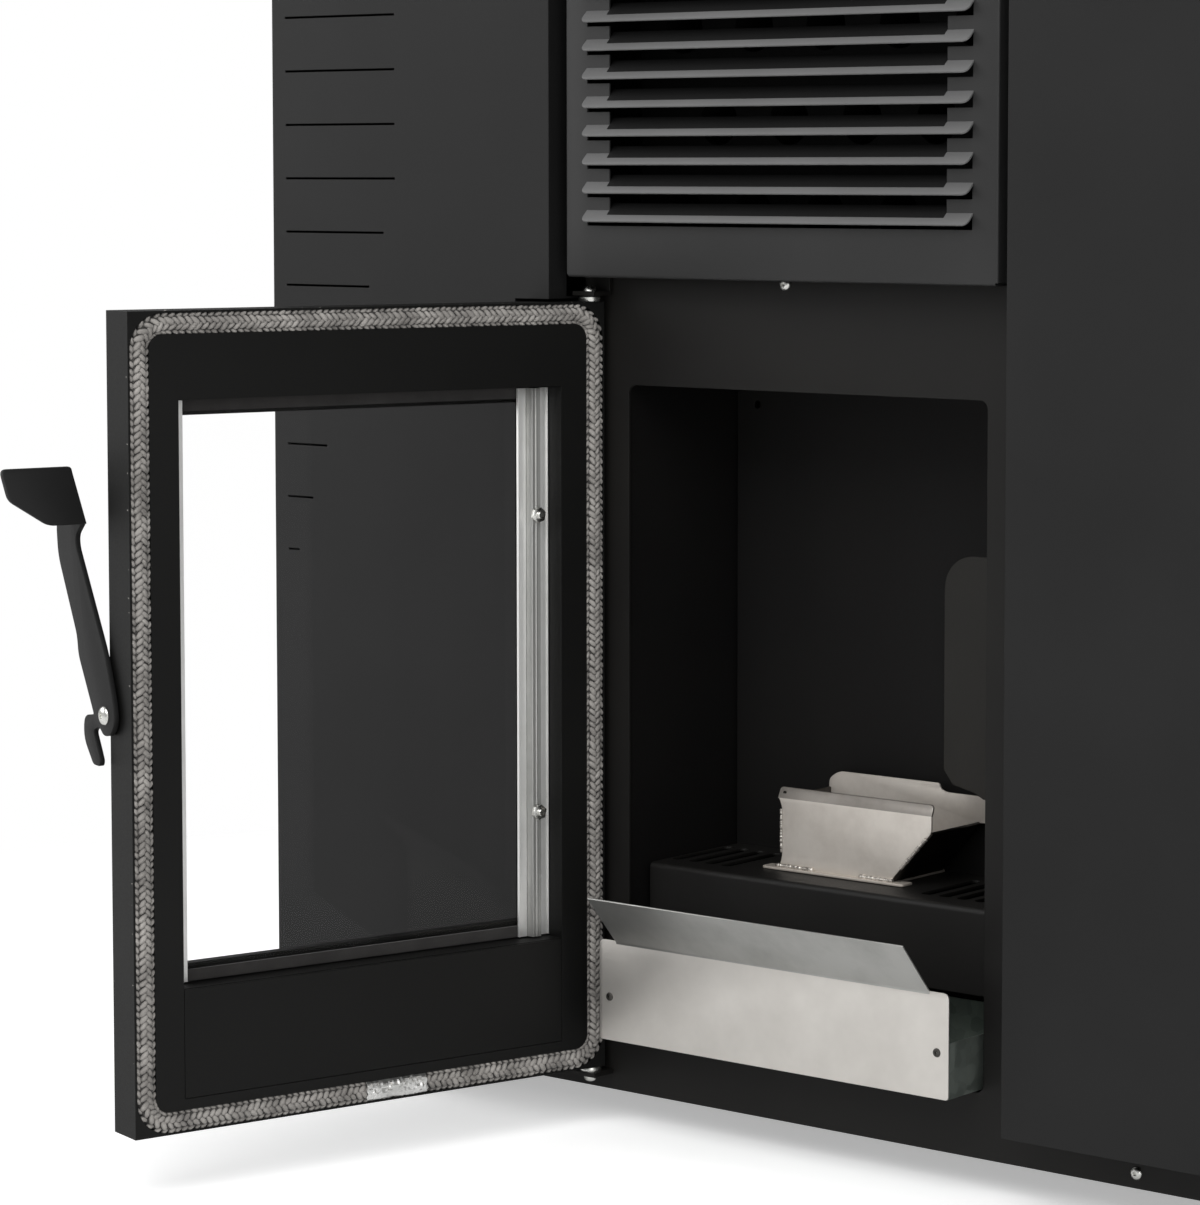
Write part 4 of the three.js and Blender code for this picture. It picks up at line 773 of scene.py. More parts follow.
# ---------------------------------------------------------------- grille
@dataclass
class GrillePanel:
    """The panel above the door: a folded sheet with slatted louvres over its slots."""

    shop: Shop
    half: float = 185.8
    bottom: float = 616.4
    top: float = 1055.6
    sheet: float = 1.5
    depth: float = 20.0
    bend: float = 2.0
    first: float = 656.5
    pitch: float = 20.0
    count: int = 14
    slot_half: float = 145.0
    slot_drop: float = 1.6
    louvre_half: float = 166.0
    louvre_gap: float = 0.6
    rise: float = 7.5
    out: float = 8.0
    lean_in: float = 4.0
    lift: float = 5.0
    display_z: float = 991.5
    display_half: Flat = (34.6, 17.6)
    button_x: float = 52.5
    button_half: float = 8.0
    corner: float = 7.5
    crease: float = 0.42
    strip_gap: float = 0.3

    @property
    def long(self) -> float:
        """A flap's length from its root to its tip."""
        return math.hypot(self.out, self.rise)

    @property
    def roots(self) -> list[float]:
        """The heights at which the flaps leave the panel."""
        return [self.first + self.pitch * k + self.rise for k in range(self.count)]

    def fold(self, edge: float, way: float, steps: int = 4) -> list[Flat]:
        """Lists the section of a border that is folded back, from its hem to the face.

        Args:
            edge: where the face would end without the bend.
            way: 1 where the border faces up or right, -1 where it faces down or left.
            steps: chords of the bend.

        Returns:
            (place along the face, Y) pairs.
        """
        section = [(edge, self.depth)]
        for k in range(steps + 1):
            turn = math.pi / 2 * k / steps
            section.append((edge - way * self.bend * (1 - math.cos(turn)), self.bend * (1 - math.sin(turn))))
        return section

    def holes(self) -> list[tuple[float, float, float, float]]:
        """Lists the control cut-outs and the slots as left, right, bottom and top.

        Returns:
            The rectangles.
        """
        wide, tall = self.display_half
        holes = [(-wide, wide, self.display_z - tall, self.display_z + tall)]
        b, z = self.button_half, self.display_z
        holes += [(x - b, x + b, z - b, z + b) for x in (-self.button_x, self.button_x)]
        for k, root in enumerate(self.roots):
            # the flaps' own blanks run past the wide slots at both ends
            blank, top = root - self.long, root - self.slot_drop
            holes.append((-self.slot_half, self.slot_half, root - self.pitch if k else blank, top))
            for side in (-1, 1):
                ends = sorted((side * self.slot_half, side * (self.louvre_half - self.louvre_gap)))
                holes.append((ends[0], ends[1], blank, top))
        return holes

    def sheet_mesh(self) -> Mesh:
        """Builds the folded sheet as a grid of quads that leaves out the slots and the control cut-outs.

        Returns:
            The mesh.
        """
        holes = self.holes()
        flat_x = sorted({edge for hole in holes for edge in hole[:2]})
        flat_z = sorted({edge for hole in holes for edge in hole[2:]})
        left, right = self.fold(-self.half, -1), self.fold(self.half, 1)
        columns = left + [(x, 0.0) for x in flat_x] + right[::-1]
        rows = [self.bottom + self.bend] + flat_z + [self.top]
        mesh = bmesh.new()
        grid = [[mesh.verts.new((x, y, z)) for z in rows] for x, y in columns]
        for i in range(len(columns) - 1):
            for j in range(len(rows) - 1):
                x, z = (columns[i][0] + columns[i + 1][0]) / 2, (rows[j] + rows[j + 1]) / 2
                if not any(a < x < b and c < z < d for a, b, c, d in holes):
                    mesh.faces.new((grid[i][j], grid[i + 1][j], grid[i + 1][j + 1], grid[i][j + 1]))
        inner = range(len(left) - 1, len(left) + len(flat_x) + 1)
        hem = [[grid[i][0] for i in inner]]
        for z, y in self.fold(self.bottom, -1)[-2::-1]:
            hem.append([mesh.verts.new((columns[i][0], y, z)) for i in inner])
        skin(mesh, hem[::-1])
        bmesh.ops.recalc_face_normals(mesh, faces=mesh.faces)
        thicken(mesh, self.sheet, -1.0)
        return mesh

    def leaned(self, root: float) -> Lay:
        """Finds how a flat flap lies below its root line.

        Args:
            root: the root line's height.

        Returns:
            What carries the flap's own (a, b, h) to space.
        """
        out, down = self.out / self.long, self.rise / self.long
        return lambda a, b, h: (a, h * down - b * out, root - b * down - h * out)

    def build(self) -> None:
        """Builds the panel with its control cut-outs, its flaps with rounded lower corners and their creased
        strips.
        """
        half, long, corner = self.louvre_half, self.long, self.corner
        blade = rounded([(-half, -0.4, 0), (half, -0.4, 0), (half, long, corner), (-half, long, corner)], 6)
        blades = [(blade, 0.0, self.sheet, self.leaned(root)) for root in self.roots]
        # over the slots each flap's upper part is creased to lean in
        start, end = -self.slot_half + self.strip_gap, self.slot_half - self.strip_gap
        bent = []
        for root in self.roots:
            crease, drop = -self.out * self.crease, root - self.rise * self.crease
            section = [(crease - 0.3, drop), (crease + 1.2, drop), (self.lean_in + 1.4, root + self.lift),
                       (self.lean_in, root + self.lift)]
            bent.append((section, start, end, along_x))
        # the flaps' lighter finish is painted top light, and the strips' near-black finish is painted shade
        # from the flap above
        for name, mesh, finish, nodes in (
                ("grille_sheet", self.sheet_mesh(), "grille", ["grille_panel"]),
                ("grille_flaps", sheets(blades, 0.35, min_deg=30.0), "flap", []),
                ("grille_strips", sheets(bent, 0.25, min_deg=30.0), "strip", [])):
            self.shop.piece(name, mesh, finish, Slot.GRILLE, Body.STOVE, nodes)


# ---------------------------------------------------------------- door
@dataclass
class RopeGasket:
    """Braided glass fibre rope laid in the groove round the door."""

    shop: Shop
    corner: float = 24.0
    width: float = DOOR.rope_width
    floor: float = DOOR.back - 9.2
    crown: float = DOOR.back + 2.4
    core_step: float = 7.0
    stitch: float = 4.9
    slant_deg: float = 38.0
    half_loop: Point = (4.1, 1.95, 1.9)
    seed: int = 7

    # each column of loops: its place over the rope's width, and its lift
    COLUMNS = ((-0.4, -2.3), (-0.15, 0.0), (0.13, 0.1), (0.38, -2.1))

    def path(self, spacing: float) -> list[tuple[Vector, Vector]]:
        """Walks the middle of the rope once round the door.

        Args:
            spacing: the distance between points.

        Returns:
            Points in (x, z) with their unit directions.
        """
        inset = self.width / 2
        rim = DOOR.rope_rim + inset
        x0, x1 = DOOR.left + rim, DOOR.right - rim
        z0, z1 = DOOR.bottom + rim, DOOR.top - rim
        radius = self.corner - inset
        line: list[Vector] = []
        for cx, cz, start in ((x1 - radius, z0 + radius, -90), (x1 - radius, z1 - radius, 0),
                              (x0 + radius, z1 - radius, 90), (x0 + radius, z0 + radius, 180)):
            line += [Vector(p) for p in arc((cx, cz), radius, start, start + 90, 10)]
        line.append(line[0])
        total = sum((b - a).length for a, b in zip(line, line[1:]))
        count = round(total / spacing)
        points: list[tuple[Vector, Vector]] = []
        walked, target = 0.0, 0.0
        for a, b in zip(line, line[1:]):
            length = (b - a).length
            while length > 0 and target <= walked + length and len(points) < count:
                points.append((a + (b - a) * ((target - walked) / length), (b - a).normalized()))
                target += total / count
            walked += length
        return points

    def core_mesh(self) -> Mesh:
        """Builds the soft body of the rope under its plait.

        Returns:
            The mesh.
        """
        mesh = bmesh.new()
        half = self.width / 2 - 0.5
        foot, crown = self.floor + 1.5, self.crown - 1.5
        section = [(-half, foot), (-half, crown - 3.4), (-half * 0.72, crown - 1.2), (0, crown - 0.6),
                   (half * 0.72, crown - 1.2), (half, crown - 3.4), (half, foot), (0, self.floor + 0.5)]
        rings = []
        for spot, way in self.path(self.core_step):
            side, rise = way.y, -way.x
            rings.append([mesh.verts.new((spot.x + side * a, y, spot.y + rise * a)) for a, y in section])
        skin(mesh, rings + rings[:1], closed=True)
        return mesh

    def plait_mesh(self) -> Mesh:
        """Builds the plait: columns of slanted yarn loops that meet as chevrons, each a little uneven.

        Returns:
            The mesh.
        """
        mesh = bmesh.new()
        chance = random.Random(self.seed)
        slant = math.radians(self.slant_deg)
        for spot, way in self.path(self.stitch):
            across = Vector((way.y, -way.x))
            for number, (offset, lift) in enumerate(self.COLUMNS):
                along = self.stitch * (0.5 if number % 2 else 0.0) + chance.uniform(-0.45, 0.45)
                middle = spot + across * (self.width * offset) + way * along
                turn = (slant if number % 2 else -slant) + chance.uniform(-0.2, 0.2)
                axis = way * math.cos(turn) + across * math.sin(turn)
                height = self.crown - 2.0 + lift + chance.uniform(-0.4, 0.25)
                self.loop(mesh, middle, axis, height, chance.uniform(0.88, 1.12))
        return mesh

    def loop(self, mesh: Mesh, middle: Vector, axis: Vector, height: float, grow: float) -> None:
        """Adds one bulging yarn loop.

        Args:
            mesh: the mesh to add to.
            middle: its middle in (x, z).
            axis: its long direction in (x, z).
            height: the middle's Y.
            grow: its size over the usual one.
        """
        rings, around, blunt, arch, tuck = 6, 8, 0.7, 1.0, 0.7
        long, wide, tall = self.half_loop
        beside = Vector((-axis.y, axis.x))
        grid: list[list[Vert]] = []
        for r in range(1, rings):
            polar = math.pi * r / rings
            u, radius = math.cos(polar), math.sin(polar) ** blunt
            ring = []
            for k in range(around):
                turn = 2 * math.pi * k / around
                b, t = radius * math.cos(turn), radius * math.sin(turn)
                flat = middle + axis * (u * (long * grow)) + beside * (b * (wide * grow))
                # one end of the loop dips under its neighbour
                ring.append(mesh.verts.new((flat.x, height + t * tall - arch * u * u + tuck * u, flat.y)))
            grid.append(ring)
        skin(mesh, grid, closed=True)
        mesh.faces.new(grid[0])
        mesh.faces.new(grid[-1][::-1])

    def build(self) -> None:
        """Builds the rope and lays it on the door."""
        # the core's dark finish is painted shade in the gaps of the plait
        self.shop.piece("rope_core_shaded", self.core_mesh(), "rope_core_shaded", Slot.ROPE, Body.DOOR, ["rope_gasket"])
        self.shop.piece("rope_plait", self.plait_mesh(), "rope", Slot.ROPE, Body.DOOR, smooth_deg=80)


@dataclass
class FoilTape:
    """A crinkled strip of foil tape over the rope's joint at the bottom of the door."""

    shop: Shop
    left: float = DOOR.left + 152.7
    right: float = DOOR.left + 201.4
    low: float = DOOR.bottom + 2.0
    high: float = DOOR.bottom + 15.4
    face: float = DOOR.back + 2.9
    columns: int = 34
    rows: int = 12
    wrap: float = 2.6
    thickness: float = 0.25
    seed: int = 3

    def build(self) -> None:
        """Builds the strip as a dented sheet with torn ends, wrapped over the rope."""
        mesh = bmesh.new()
        chance = random.Random(self.seed)
        grid = []
        for i in range(self.columns + 1):
            column = []
            for j in range(self.rows + 1):
                u, v = i / self.columns, j / self.rows
                ragged = chance.uniform(-0.7, 0.7) if i in (0, self.columns) else 0.0
                x = self.left + (self.right - self.left) * u + ragged
                z = self.low + (self.high - self.low) * v
                wrap = -self.wrap * (2 * v - 1) ** 4
                dent = chance.uniform(-0.45, 0.25) + 0.35 * math.sin(9 * u + 5 * v)
                column.append(mesh.verts.new((x, self.face + wrap + dent, z)))
            grid.append(column)
        skin(mesh, list(zip(*grid)))
        mesh.normal_update()
        thicken(mesh, self.thickness, 1.0)
        self.shop.piece("foil_strip", mesh, "foil", Slot.FOIL, Body.DOOR, ["foil_tape"], 12)


class Profile(Enum):
    """Turned heads as (radius, height over the seat) pairs that start on the axis and end on it."""

    STUD = ((0, 0), (2.6, 0), (2.6, 6.0), (2.1, 6.5), (0, 6.5))
    CAP = ((0, -0.2), (3.1, -0.2), (3.0, 0.9), (2.0, 1.7), (0, 2.0))
    DOME = ((0, -1), (6.2, -1), (6.4, 0.2), (5.9, 1.2), (4.6, 2.0), (2.6, 2.45), (0, 2.5))
    RIVET = ((0, -1.0), (3.1, -1.0), (3.1, 0.1), (2.6, 0.9), (1.4, 1.35), (0, 1.4))
    WASHER = ((0, 0.2), (7.7, 0.2), (7.9, 0.5), (7.9, 3.3), (7.6, 3.6), (0, 3.6))
    PIN = ((0, 7.0), (4.6, 7.0), (4.9, 7.4), (4.7, 9.2), (3.6, 10.6), (2.0, 11.4), (0, 11.6))
    BUTTON = ((0, -0.2), (4.5, -0.2), (4.5, 0.5), (4.0, 1.5), (2.9, 2.3), (1.9, 2.6), (0, 2.6))
    DIMPLE = ((0, 0), (1.5, 0), (1.5, 0.35), (1.1, 0.5), (0, 0.5))


@dataclass
class Fastener:
    """A small turned fastener seen from its head."""

    shop: Shop
    name: str
    at: Point
    facing: Point
    head: Profile
    body: Body
    replaces: Sequence[str] = ()
    socket: float = 0.0
    hexagon: float = 0.0
    finish: str = "zinc"
    hex_span: Flat = (0.3, 3.9)
    hex_turn: float = 0.3
    socket_deep: Flat = (1.3, 1.5)
    sides: int = 28

    def build(self) -> None:
        """Builds the head, its hexagon if it has one, and a socket."""
        mesh = bmesh.new()
        turn = Vector((0, 0, 1)).rotation_difference(Vector(self.facing)).to_matrix().to_4x4()
        spot = Matrix.Translation(self.at) @ turn
        profile = list(self.head.value)
        if self.socket:
            top = profile[-1][1]
            wall, floor = self.socket_deep
            profile = profile[:-1] + [(self.socket, top), (self.socket * 0.96, top - wall), (0, top - floor)]
        lathe(mesh, profile, spot, self.sides)
        if self.hexagon:
            turns = [math.pi / 3 * i + self.hex_turn for i in range(6)]
            ring = [(self.hexagon * math.cos(a), self.hexagon * math.sin(a)) for a in turns]
            nut = sheets([(ring, *self.hex_span, along_z)], 0.4, min_deg=30.0)
            nut.transform(spot)
            copy = bpy.data.meshes.new(self.name + "_nut")
            nut.to_mesh(copy)
            nut.free()
            mesh.from_mesh(copy)
            bpy.data.meshes.remove(copy)
        self.shop.piece(self.name, mesh, self.finish, Slot.ZINC, self.body, self.replaces)


@dataclass
class Door:
    """The glazed door: frame, lower panel, pane, clamps, rope, foil and handle bolt."""

    shop: Shop
    clamp_gap: float = 0.4
    clamp_low: float = 10.6
    clamp_crown: float = 17.5
    clamp_middle: float = 13.15
    clamp_ends: Flat = (141.7, 537.3)
    free_clamp_face: float = 12.1
    free_clamp_middle: float = 5.6

    def clamp(self) -> None:
        """Builds the hinge side's clamp: two bright flanges and a rolled rib with a raised line."""
        start = DOOR.left + DOOR.recess_inset + self.clamp_gap
        low, crown = self.clamp_low, self.clamp_crown
        flat: list[Part] = []
        # each flange lies on the glass and ends in a short upturned edge
        for a, b, edge, inward in ((0.0, 7.4, 0.0, 0.9), (18.2, 25.4, 25.4, -0.9)):
            for outline in (block(start + a, low, start + b, low + 1.5),
                            block(start + edge, low + 1.4, start + edge + inward, low + 2.6)):
                flat.append((outline, *self.clamp_ends, along_z))
        self.shop.piece("clamp_flanges", sheets(flat, 0.25), "clamp", Slot.GALVANISED, Body.DOOR,
                        ["glass_clamp_hinge_side"])
        foot, line, groove, under = low + 0.2, crown + 0.1, crown - 0.5, crown - 1.9
        section = [(7.3, foot), (8.8, crown - 1.4), (9.6, crown), (12.0, groove), (12.3, line), (13.1, line),
                   (13.4, groove), (16.2, crown), (16.9, crown - 1.4), (18.3, foot), (17.0, foot),
                   (15.6, under), (9.9, under), (8.6, foot)]
        rib = sheets([([(start + a, y) for a, y in section], *self.clamp_ends, along_z)], 0.2, min_deg=25.0)
        # the rib's darker finish is painted reflection
        self.shop.piece("clamp_rib_painted_reflection", rib, "clamp_rib_painted_reflection", Slot.GALVANISED, Body.DOOR)

    def build(self) -> None:
        """Builds the door's hinge-side clamp, rope, foil, clamp fasteners and handle bolt head."""
        self.clamp()
        RopeGasket(self.shop).build()
        FoilTape(self.shop).build()
        nut = (DOOR.left + DOOR.recess_inset + self.clamp_middle, self.clamp_crown + 0.2)
        screw = (DOOR.right - DOOR.recess_inset - self.free_clamp_middle, self.free_clamp_face + 0.3)
        for level, z in zip(("low", "high"), DOOR.nut_heights):
            Fastener(self.shop, f"hinge_side_nut_{level}", (*nut, z), (0, 1, 0), Profile.STUD, Body.DOOR,
                     [f"clamp_nut_hinge_side_{level}"], hexagon=5.8).build()
            Fastener(self.shop, f"free_side_screw_{level}", (*screw, z), (0, 1, 0), Profile.CAP, Body.DOOR,
                     [f"clamp_nut_free_side_{level}"], 1.0).build()
        head_x = DOOR.lever_x + 4 + 0.3
        Fastener(self.shop, "handle_bolt_head", (head_x, DOOR.bolt_y, DOOR.bolt_z), (1, 0, 0), Profile.DOME,
                 Body.DOOR, ["handle_bolt"], 2.0).build()


@dataclass
class Handle:
    """The door handle: a flat lever with a claw, and a grip folded off its upper end."""

    shop: Shop
    thick: float = 4.0
    reach: float = 52.0
    tall: float = 37.0
    grip_depth: float = 61.5
    fold_up: float = 127.0
    lean: float = 22.2 / 36

    # (depth from the door's inner face, height over the bolt, corner radius)
    LEVER = (
        (98.0, 122.0, 3.0), (96.0, 103.0, 8.0), (68.6, 50.0, 10.0), (67.3, 38.0, 8.0), (49.4, 7.0, 6.0),
        (44.5, -1.5, 3.0), (59.0, -2.0, 9.0), (60.5, -18.0, 8.0), (46.5, -35.0, 3.0), (37.4, -35.4, 2.5),
        (36.0, -31.5, 2.0), (41.7, -20.6, 5.0), (46.6, -12.0, 4.0), (37.0, -8.0, 4.0), (31.0, -14.0, 4.0),
        (21.0, -13.0, 6.0), (14.0, -3.0, 6.0), (17.0, 11.0, 6.0), (27.4, 40.0, 12.0), (68.8, 110.5, 8.0),
        (69.6, 118.5, 4.0), (60.4, 127.0, 2.0), (78.0, 156.0, 2.0), (81.6, 163.0, 1.0), (85.0, 163.0, 1.0),
    )

    def folded(self, a: float, b: float, h: float) -> Point:
        """Leans the grip's outline back along the fold."""
        y = DOOR.back - self.grip_depth - self.lean * b + h
        return (DOOR.lever_x + a, y, DOOR.bolt_z + self.fold_up + b)

    def build(self) -> None:
        """Builds the lever plate with its claw, and the folded grip that leans with its upper edge."""
        plate = [(DOOR.back - v, DOOR.bolt_z + up) for v, up in rounded(self.LEVER, 5)]
        far, tall = self.reach, self.tall
        grip = rounded(((0.0, -0.5, 1.0), (far - 24.0, -0.5, 4.0), (far, 16.5, 4.0), (far, tall, 5.0),
                        (0.0, tall, 2.0)), 5)
        lever = sheets([(plate, DOOR.lever_x, DOOR.lever_x + self.thick, along_x)], 0.5, min_deg=50.0)
        fold = sheets([(grip, -self.thick / 2, self.thick / 2, self.folded)], 0.8, 3, 50.0)
        self.shop.piece("handle_plate", lever, "lever", Slot.STOVE, Body.HANDLE, ["handle_lever"])
        self.shop.piece("handle_grip", fold, "lever", Slot.STOVE, Body.HANDLE)


# ---------------------------------------------------------------- burn pot
@dataclass
class BurnPot:
    """The welded burn pot: base, faces, sloped wall, bent upper lip and weld beads."""

    shop: Shop
    base: float = 191.4
    sheet: float = 1.8
    front: float = 91.0
    rear: float = 150.0
    fold: float = 242.4
    lip_top: float = 250.5
    lip_lean: float = 0.45
    hole: Flat = (-59.0, 246.6)

    def bent(self, a: float, b: float, h: float) -> Point:
        """Leans the upper lip back from its fold."""
        return (a, h + (b - self.fold) * self.lip_lean, b)

    def plates(self) -> list[Part]:
        """Lists the pot's base and its two faces.

        Returns:
            The flat parts.
        """
        foot, t = self.base + 1, self.sheet
        base = rounded([(-75, 86, 3), (50, 86, 3), (50, 99, 2), (38, 99, 0), (38, 156, 2), (-64, 156, 2),
                        (-64, 99, 0), (-75, 99, 2)], 3)
        face = rounded([(-63, foot, 0), (38, foot, 0), (38, 196, 2), (71, 231, 3), (71, 243, 0),
                        (-63, 243, 0), (-60, 236, 4), (-60, 200, 4)], 3)
        rear = rounded([(-64, foot, 0), (38, foot, 0), (38, 196, 2), (71, 231, 2), (90, 231, 0), (90, 250, 0),
                        (42, 250, 3), (37, 252, 3), (36, 256, 2), (-54, 256, 6), (-62, 250, 3)], 4)
        return [(base, self.base, self.base + t, along_z), (face, self.front, self.front + t, along_y),
                (rear, self.rear, self.rear + t, along_y)]

    def walls(self) -> list[Part]:
        """Lists the sloped right wall and the left wall, whose dark finish is painted shade, on the sloped
        wall also a painted reflection of the dark tray.

        Returns:
            The flat parts.
        """
        slope = [(36, 194), (38.8, 193.4), (72, 230.4), (70.6, 231.8)]
        left = block(self.front + 1.9, self.base + 1, self.rear, 244)
        return [(slope, self.front + 0.5, self.rear + 1, along_y), (left, -61.8, -60.2, along_x)]

    def weld(self, mesh: Mesh, start: Point, end: Point, size: float, seed: int) -> None:
        """Adds a rippled weld bead between two points.

        Args:
            mesh: the mesh to add to.
            start: where the bead begins.
            end: where it ends.
            size: its half width.
            seed: fixes its unevenness.
        """
        chance = random.Random(seed)
        a, b = Vector(start), Vector(end)
        way = (b - a).normalized()
        side = way.orthogonal().normalized()
        up = way.cross(side)
        count = max(3, round((b - a).length / (size * 0.9)))
        for i in range(count + 1):
            middle = a + (b - a) * (i / count)
            radius = size * chance.uniform(0.8, 1.15)
            made = bmesh.ops.create_icosphere(mesh, subdivisions=2, radius=1.0)["verts"]
            for vert in made:
                x, y, z = vert.co
                vert.co = middle + way * (z * radius * 0.95) + side * (x * radius) + up * (y * radius)

    def beads(self) -> Mesh:
        """Builds the weld beads along the base, the left edge and the slope.

        Returns:
            The mesh.
        """
        mesh = bmesh.new()
        z, y, near = self.base + self.sheet + 0.6, self.front - 0.5, self.front + 0.6
        runs = (((-64, y, z), (-33, y, z), 1.9), ((11, y, z), (37, y, z), 1.9),
                ((-61.2, near, 204), (-61.2, near, 234), 1.2),
                ((45, self.front + 0.4, 203.5), (66, self.front + 0.4, 226), 1.5))
        for seed, (start, end, size) in enumerate(runs, 1):
            self.weld(mesh, start, end, size, seed)
        return mesh

    def build(self) -> None:
        """Builds the burn pot, with a dark dimple, painted shade, that stands for the hanging hole in its
        lip.
        """
        fold, top = self.fold, self.lip_top
        lip = rounded([(-64, fold, 0), (71, fold, 0), (71, top, 5.0), (-64, top, 2.5)], 5)
        strip = [(lip, self.front - 0.1, self.front + self.sheet, self.bent)]
        dimple = bmesh.new()
        spot = Matrix.Translation((self.hole[0], self.front + 2.1, self.hole[1]))
        lathe(dimple, Profile.DIMPLE.value, spot @ Matrix.Rotation(math.pi / 2, 4, "X"), 20)
        for name, mesh, finish, nodes, smooth_deg in (
                ("burn_pot_plates", sheets(self.plates(), 0.35), "pot", ["burn_pot"], 35),
                ("burn_pot_wall", sheets(self.walls(), 0.3), "pot_wall", [], 35),
                ("burn_pot_lip", sheets(strip, 0.35), "pot_lip", [], 35),
                ("burn_pot_lip_hole", dimple, "pot_wall", [], 35),
                ("burn_pot_welds", self.beads(), "weld", [], 80)):
            self.shop.piece(name, mesh, finish, Slot.STAINLESS, Body.STOVE, nodes, smooth_deg)


# ---------------------------------------------------------------- ash drawer
@dataclass
class AshDrawer:
    """The ash drawer: a folded bright front with a sloped lip, on a galvanised box."""

    shop: Shop
    face: float = -3.0
    half: float = 152.5
    bottom: float = 71.5
    top: float = 144.0
    corner: float = 5.0
    foot_corner: float = 3.0
    lip_half: float = 137.0
    lip_proud: float = 0.15
    reach: float = 31.5
    lip_top: float = 179.0
    sheet: float = 1.2
    bend: float = 3.0
    bend_steps: int = 5
    rivet: Flat = (143.0, 103.0)

    def lip_section(self) -> list[Flat]:
        """Lists the lip's section in (y, z), from the bend at the face's top out to the tip and back.

        Returns:
            The outline.
        """
        slope = math.atan2(self.lip_top - self.top, self.reach)
        outer: list[Flat] = []
        start = self.top - 2.2
        for k in range(self.bend_steps + 1):
            turn = (math.pi / 2 - slope) * k / self.bend_steps
            outer.append((self.face - self.bend * (1 - math.cos(turn)), start + self.bend * math.sin(turn)))
        outer.append((self.face - self.reach, self.lip_top))
        away_y, away_z = math.sin(slope) * self.sheet, math.cos(slope) * self.sheet
        inner = [(y + away_y, z + away_z) for y, z in (outer[-1], outer[-2])]
        back = self.face + self.sheet
        return outer + inner + [(back, self.top - 1.2), (back, self.top - 2.4)]

    def build(self) -> None:
        """Builds the front plate with its rounded corners, the lip that leans out over it, and the rivets."""
        half, corner, foot = self.half, self.corner, self.foot_corner
        plate = rounded([(-half, self.bottom, foot), (half, self.bottom, foot), (half, self.top, corner),
                         (-half, self.top, corner)], 6)
        front = sheets([(plate, self.face, self.face + self.sheet, along_y)], 0.3, min_deg=50.0)
        section = [(y - self.lip_proud, z) for y, z in self.lip_section()]
        lip = sheets([(section, -self.lip_half, self.lip_half, along_x)], 0.3, min_deg=50.0)
        self.shop.piece("drawer_front_sheet", front, "front", Slot.STAINLESS, Body.DRAWER, ["drawer_front"],
                        25)
        # the lip's darker finish is painted shade
        self.shop.piece("drawer_front_lip", lip, "front_lip_shaded", Slot.STAINLESS, Body.DRAWER, smooth_deg=25)
        x, z = self.rivet
        for side, at in (("left", (-x, self.face, z)), ("right", (x, self.face, z))):
            Fastener(self.shop, f"drawer_rivet_{side}_head", at, (0, -1, 0), Profile.RIVET, Body.DRAWER,
                     [f"drawer_rivet_{side}"], 0.9, finish="rivet").build()


# ---------------------------------------------------------------- body of the stove
@dataclass
class StoveBody:
    """What keeps its CAD shape, with the hinge pins and screws of the sheet metal."""

    shop: Shop

    DRESSED = {
        "casing": ("casing_left", "casing_right", "rear_cover", "top_cover", "hopper_lid"),
        "plate": ("front_plate", "base_tray", "hinge_bracket_top", "hinge_bracket_bottom"),
        "firebox": ("firebox_shell", "firebox_back_liner"),
        "deflector": ("chute_deflector",),
        "inside": ("heat_exchanger",),
        "tray": ("burn_pot_tray",),
        "rubber": ("foot_front_left", "foot_front_right", "foot_rear_left", "foot_rear_right"),
        "screen": ("control_display",),
        "plastic": ("control_button_left", "control_button_right", "control_board_box", "mains_inlet",
                    "switch_housing", "rocker_switch"),
        "door": ("door_frame", "door_lower_panel"),
        "pane": ("door_glass",),
        "tape": ("glass_gasket",),
        "clamp": ("glass_clamp_free_side",),
        "box": ("drawer_box",),
        "duct": ("pellet_hopper", "auger_tube", "pellet_chute", "exhaust_fan_housing", "flue_outlet",
                 "air_intake", "room_blower_housing"),
        "cast": ("auger_gearmotor", "exhaust_motor", "room_blower_rotor"),
        "steel": ("auger_screw", "exhaust_impeller", "igniter"),
    }
    SCREWS = {"base_screw": (278.0, 34.0, 35.4), "grille_screw": (-14.7, 34.0, 613.5)}

    def build(self) -> None:
        """Dresses the CAD nodes, and builds bright hinge pins with washers and the two screws in view."""
        for finish, nodes in self.DRESSED.items():
            self.shop.dress(finish, nodes)
        for level, z, way in (("top", DOOR.top, 1.0), ("bottom", DOOR.bottom, -1.0)):
            at = (DOOR.hinge_x, DOOR.hinge_y, z)
            for name, head in (("washer", Profile.WASHER), ("pin", Profile.PIN)):
                Fastener(self.shop, f"hinge_{name}_{level}", at, (0, 0, way), head, Body.STOVE).build()
        for name, at in self.SCREWS.items():
            Fastener(self.shop, f"{name}_head", at, (0, -1, 0), Profile.BUTTON, Body.STOVE, [name],
                     1.5).build()


# ---------------------------------------------------------------- studio
def seen_straight(tree: Tree) -> Socket:
    """Finds what the camera sees itself or through the pane, as against what only lights the stove.

    Args:
        tree: the node tree.

    Returns:
        An output that is 1 for such rays and 0 for all others.
    """
    rays = add_node(tree, "LightPath").outputs
    return add_node(tree, "Math", {"operation": "MAXIMUM"},
                    {0: rays["Is Camera Ray"], 1: rays["Is Transmission Ray"]}).outputs[0]


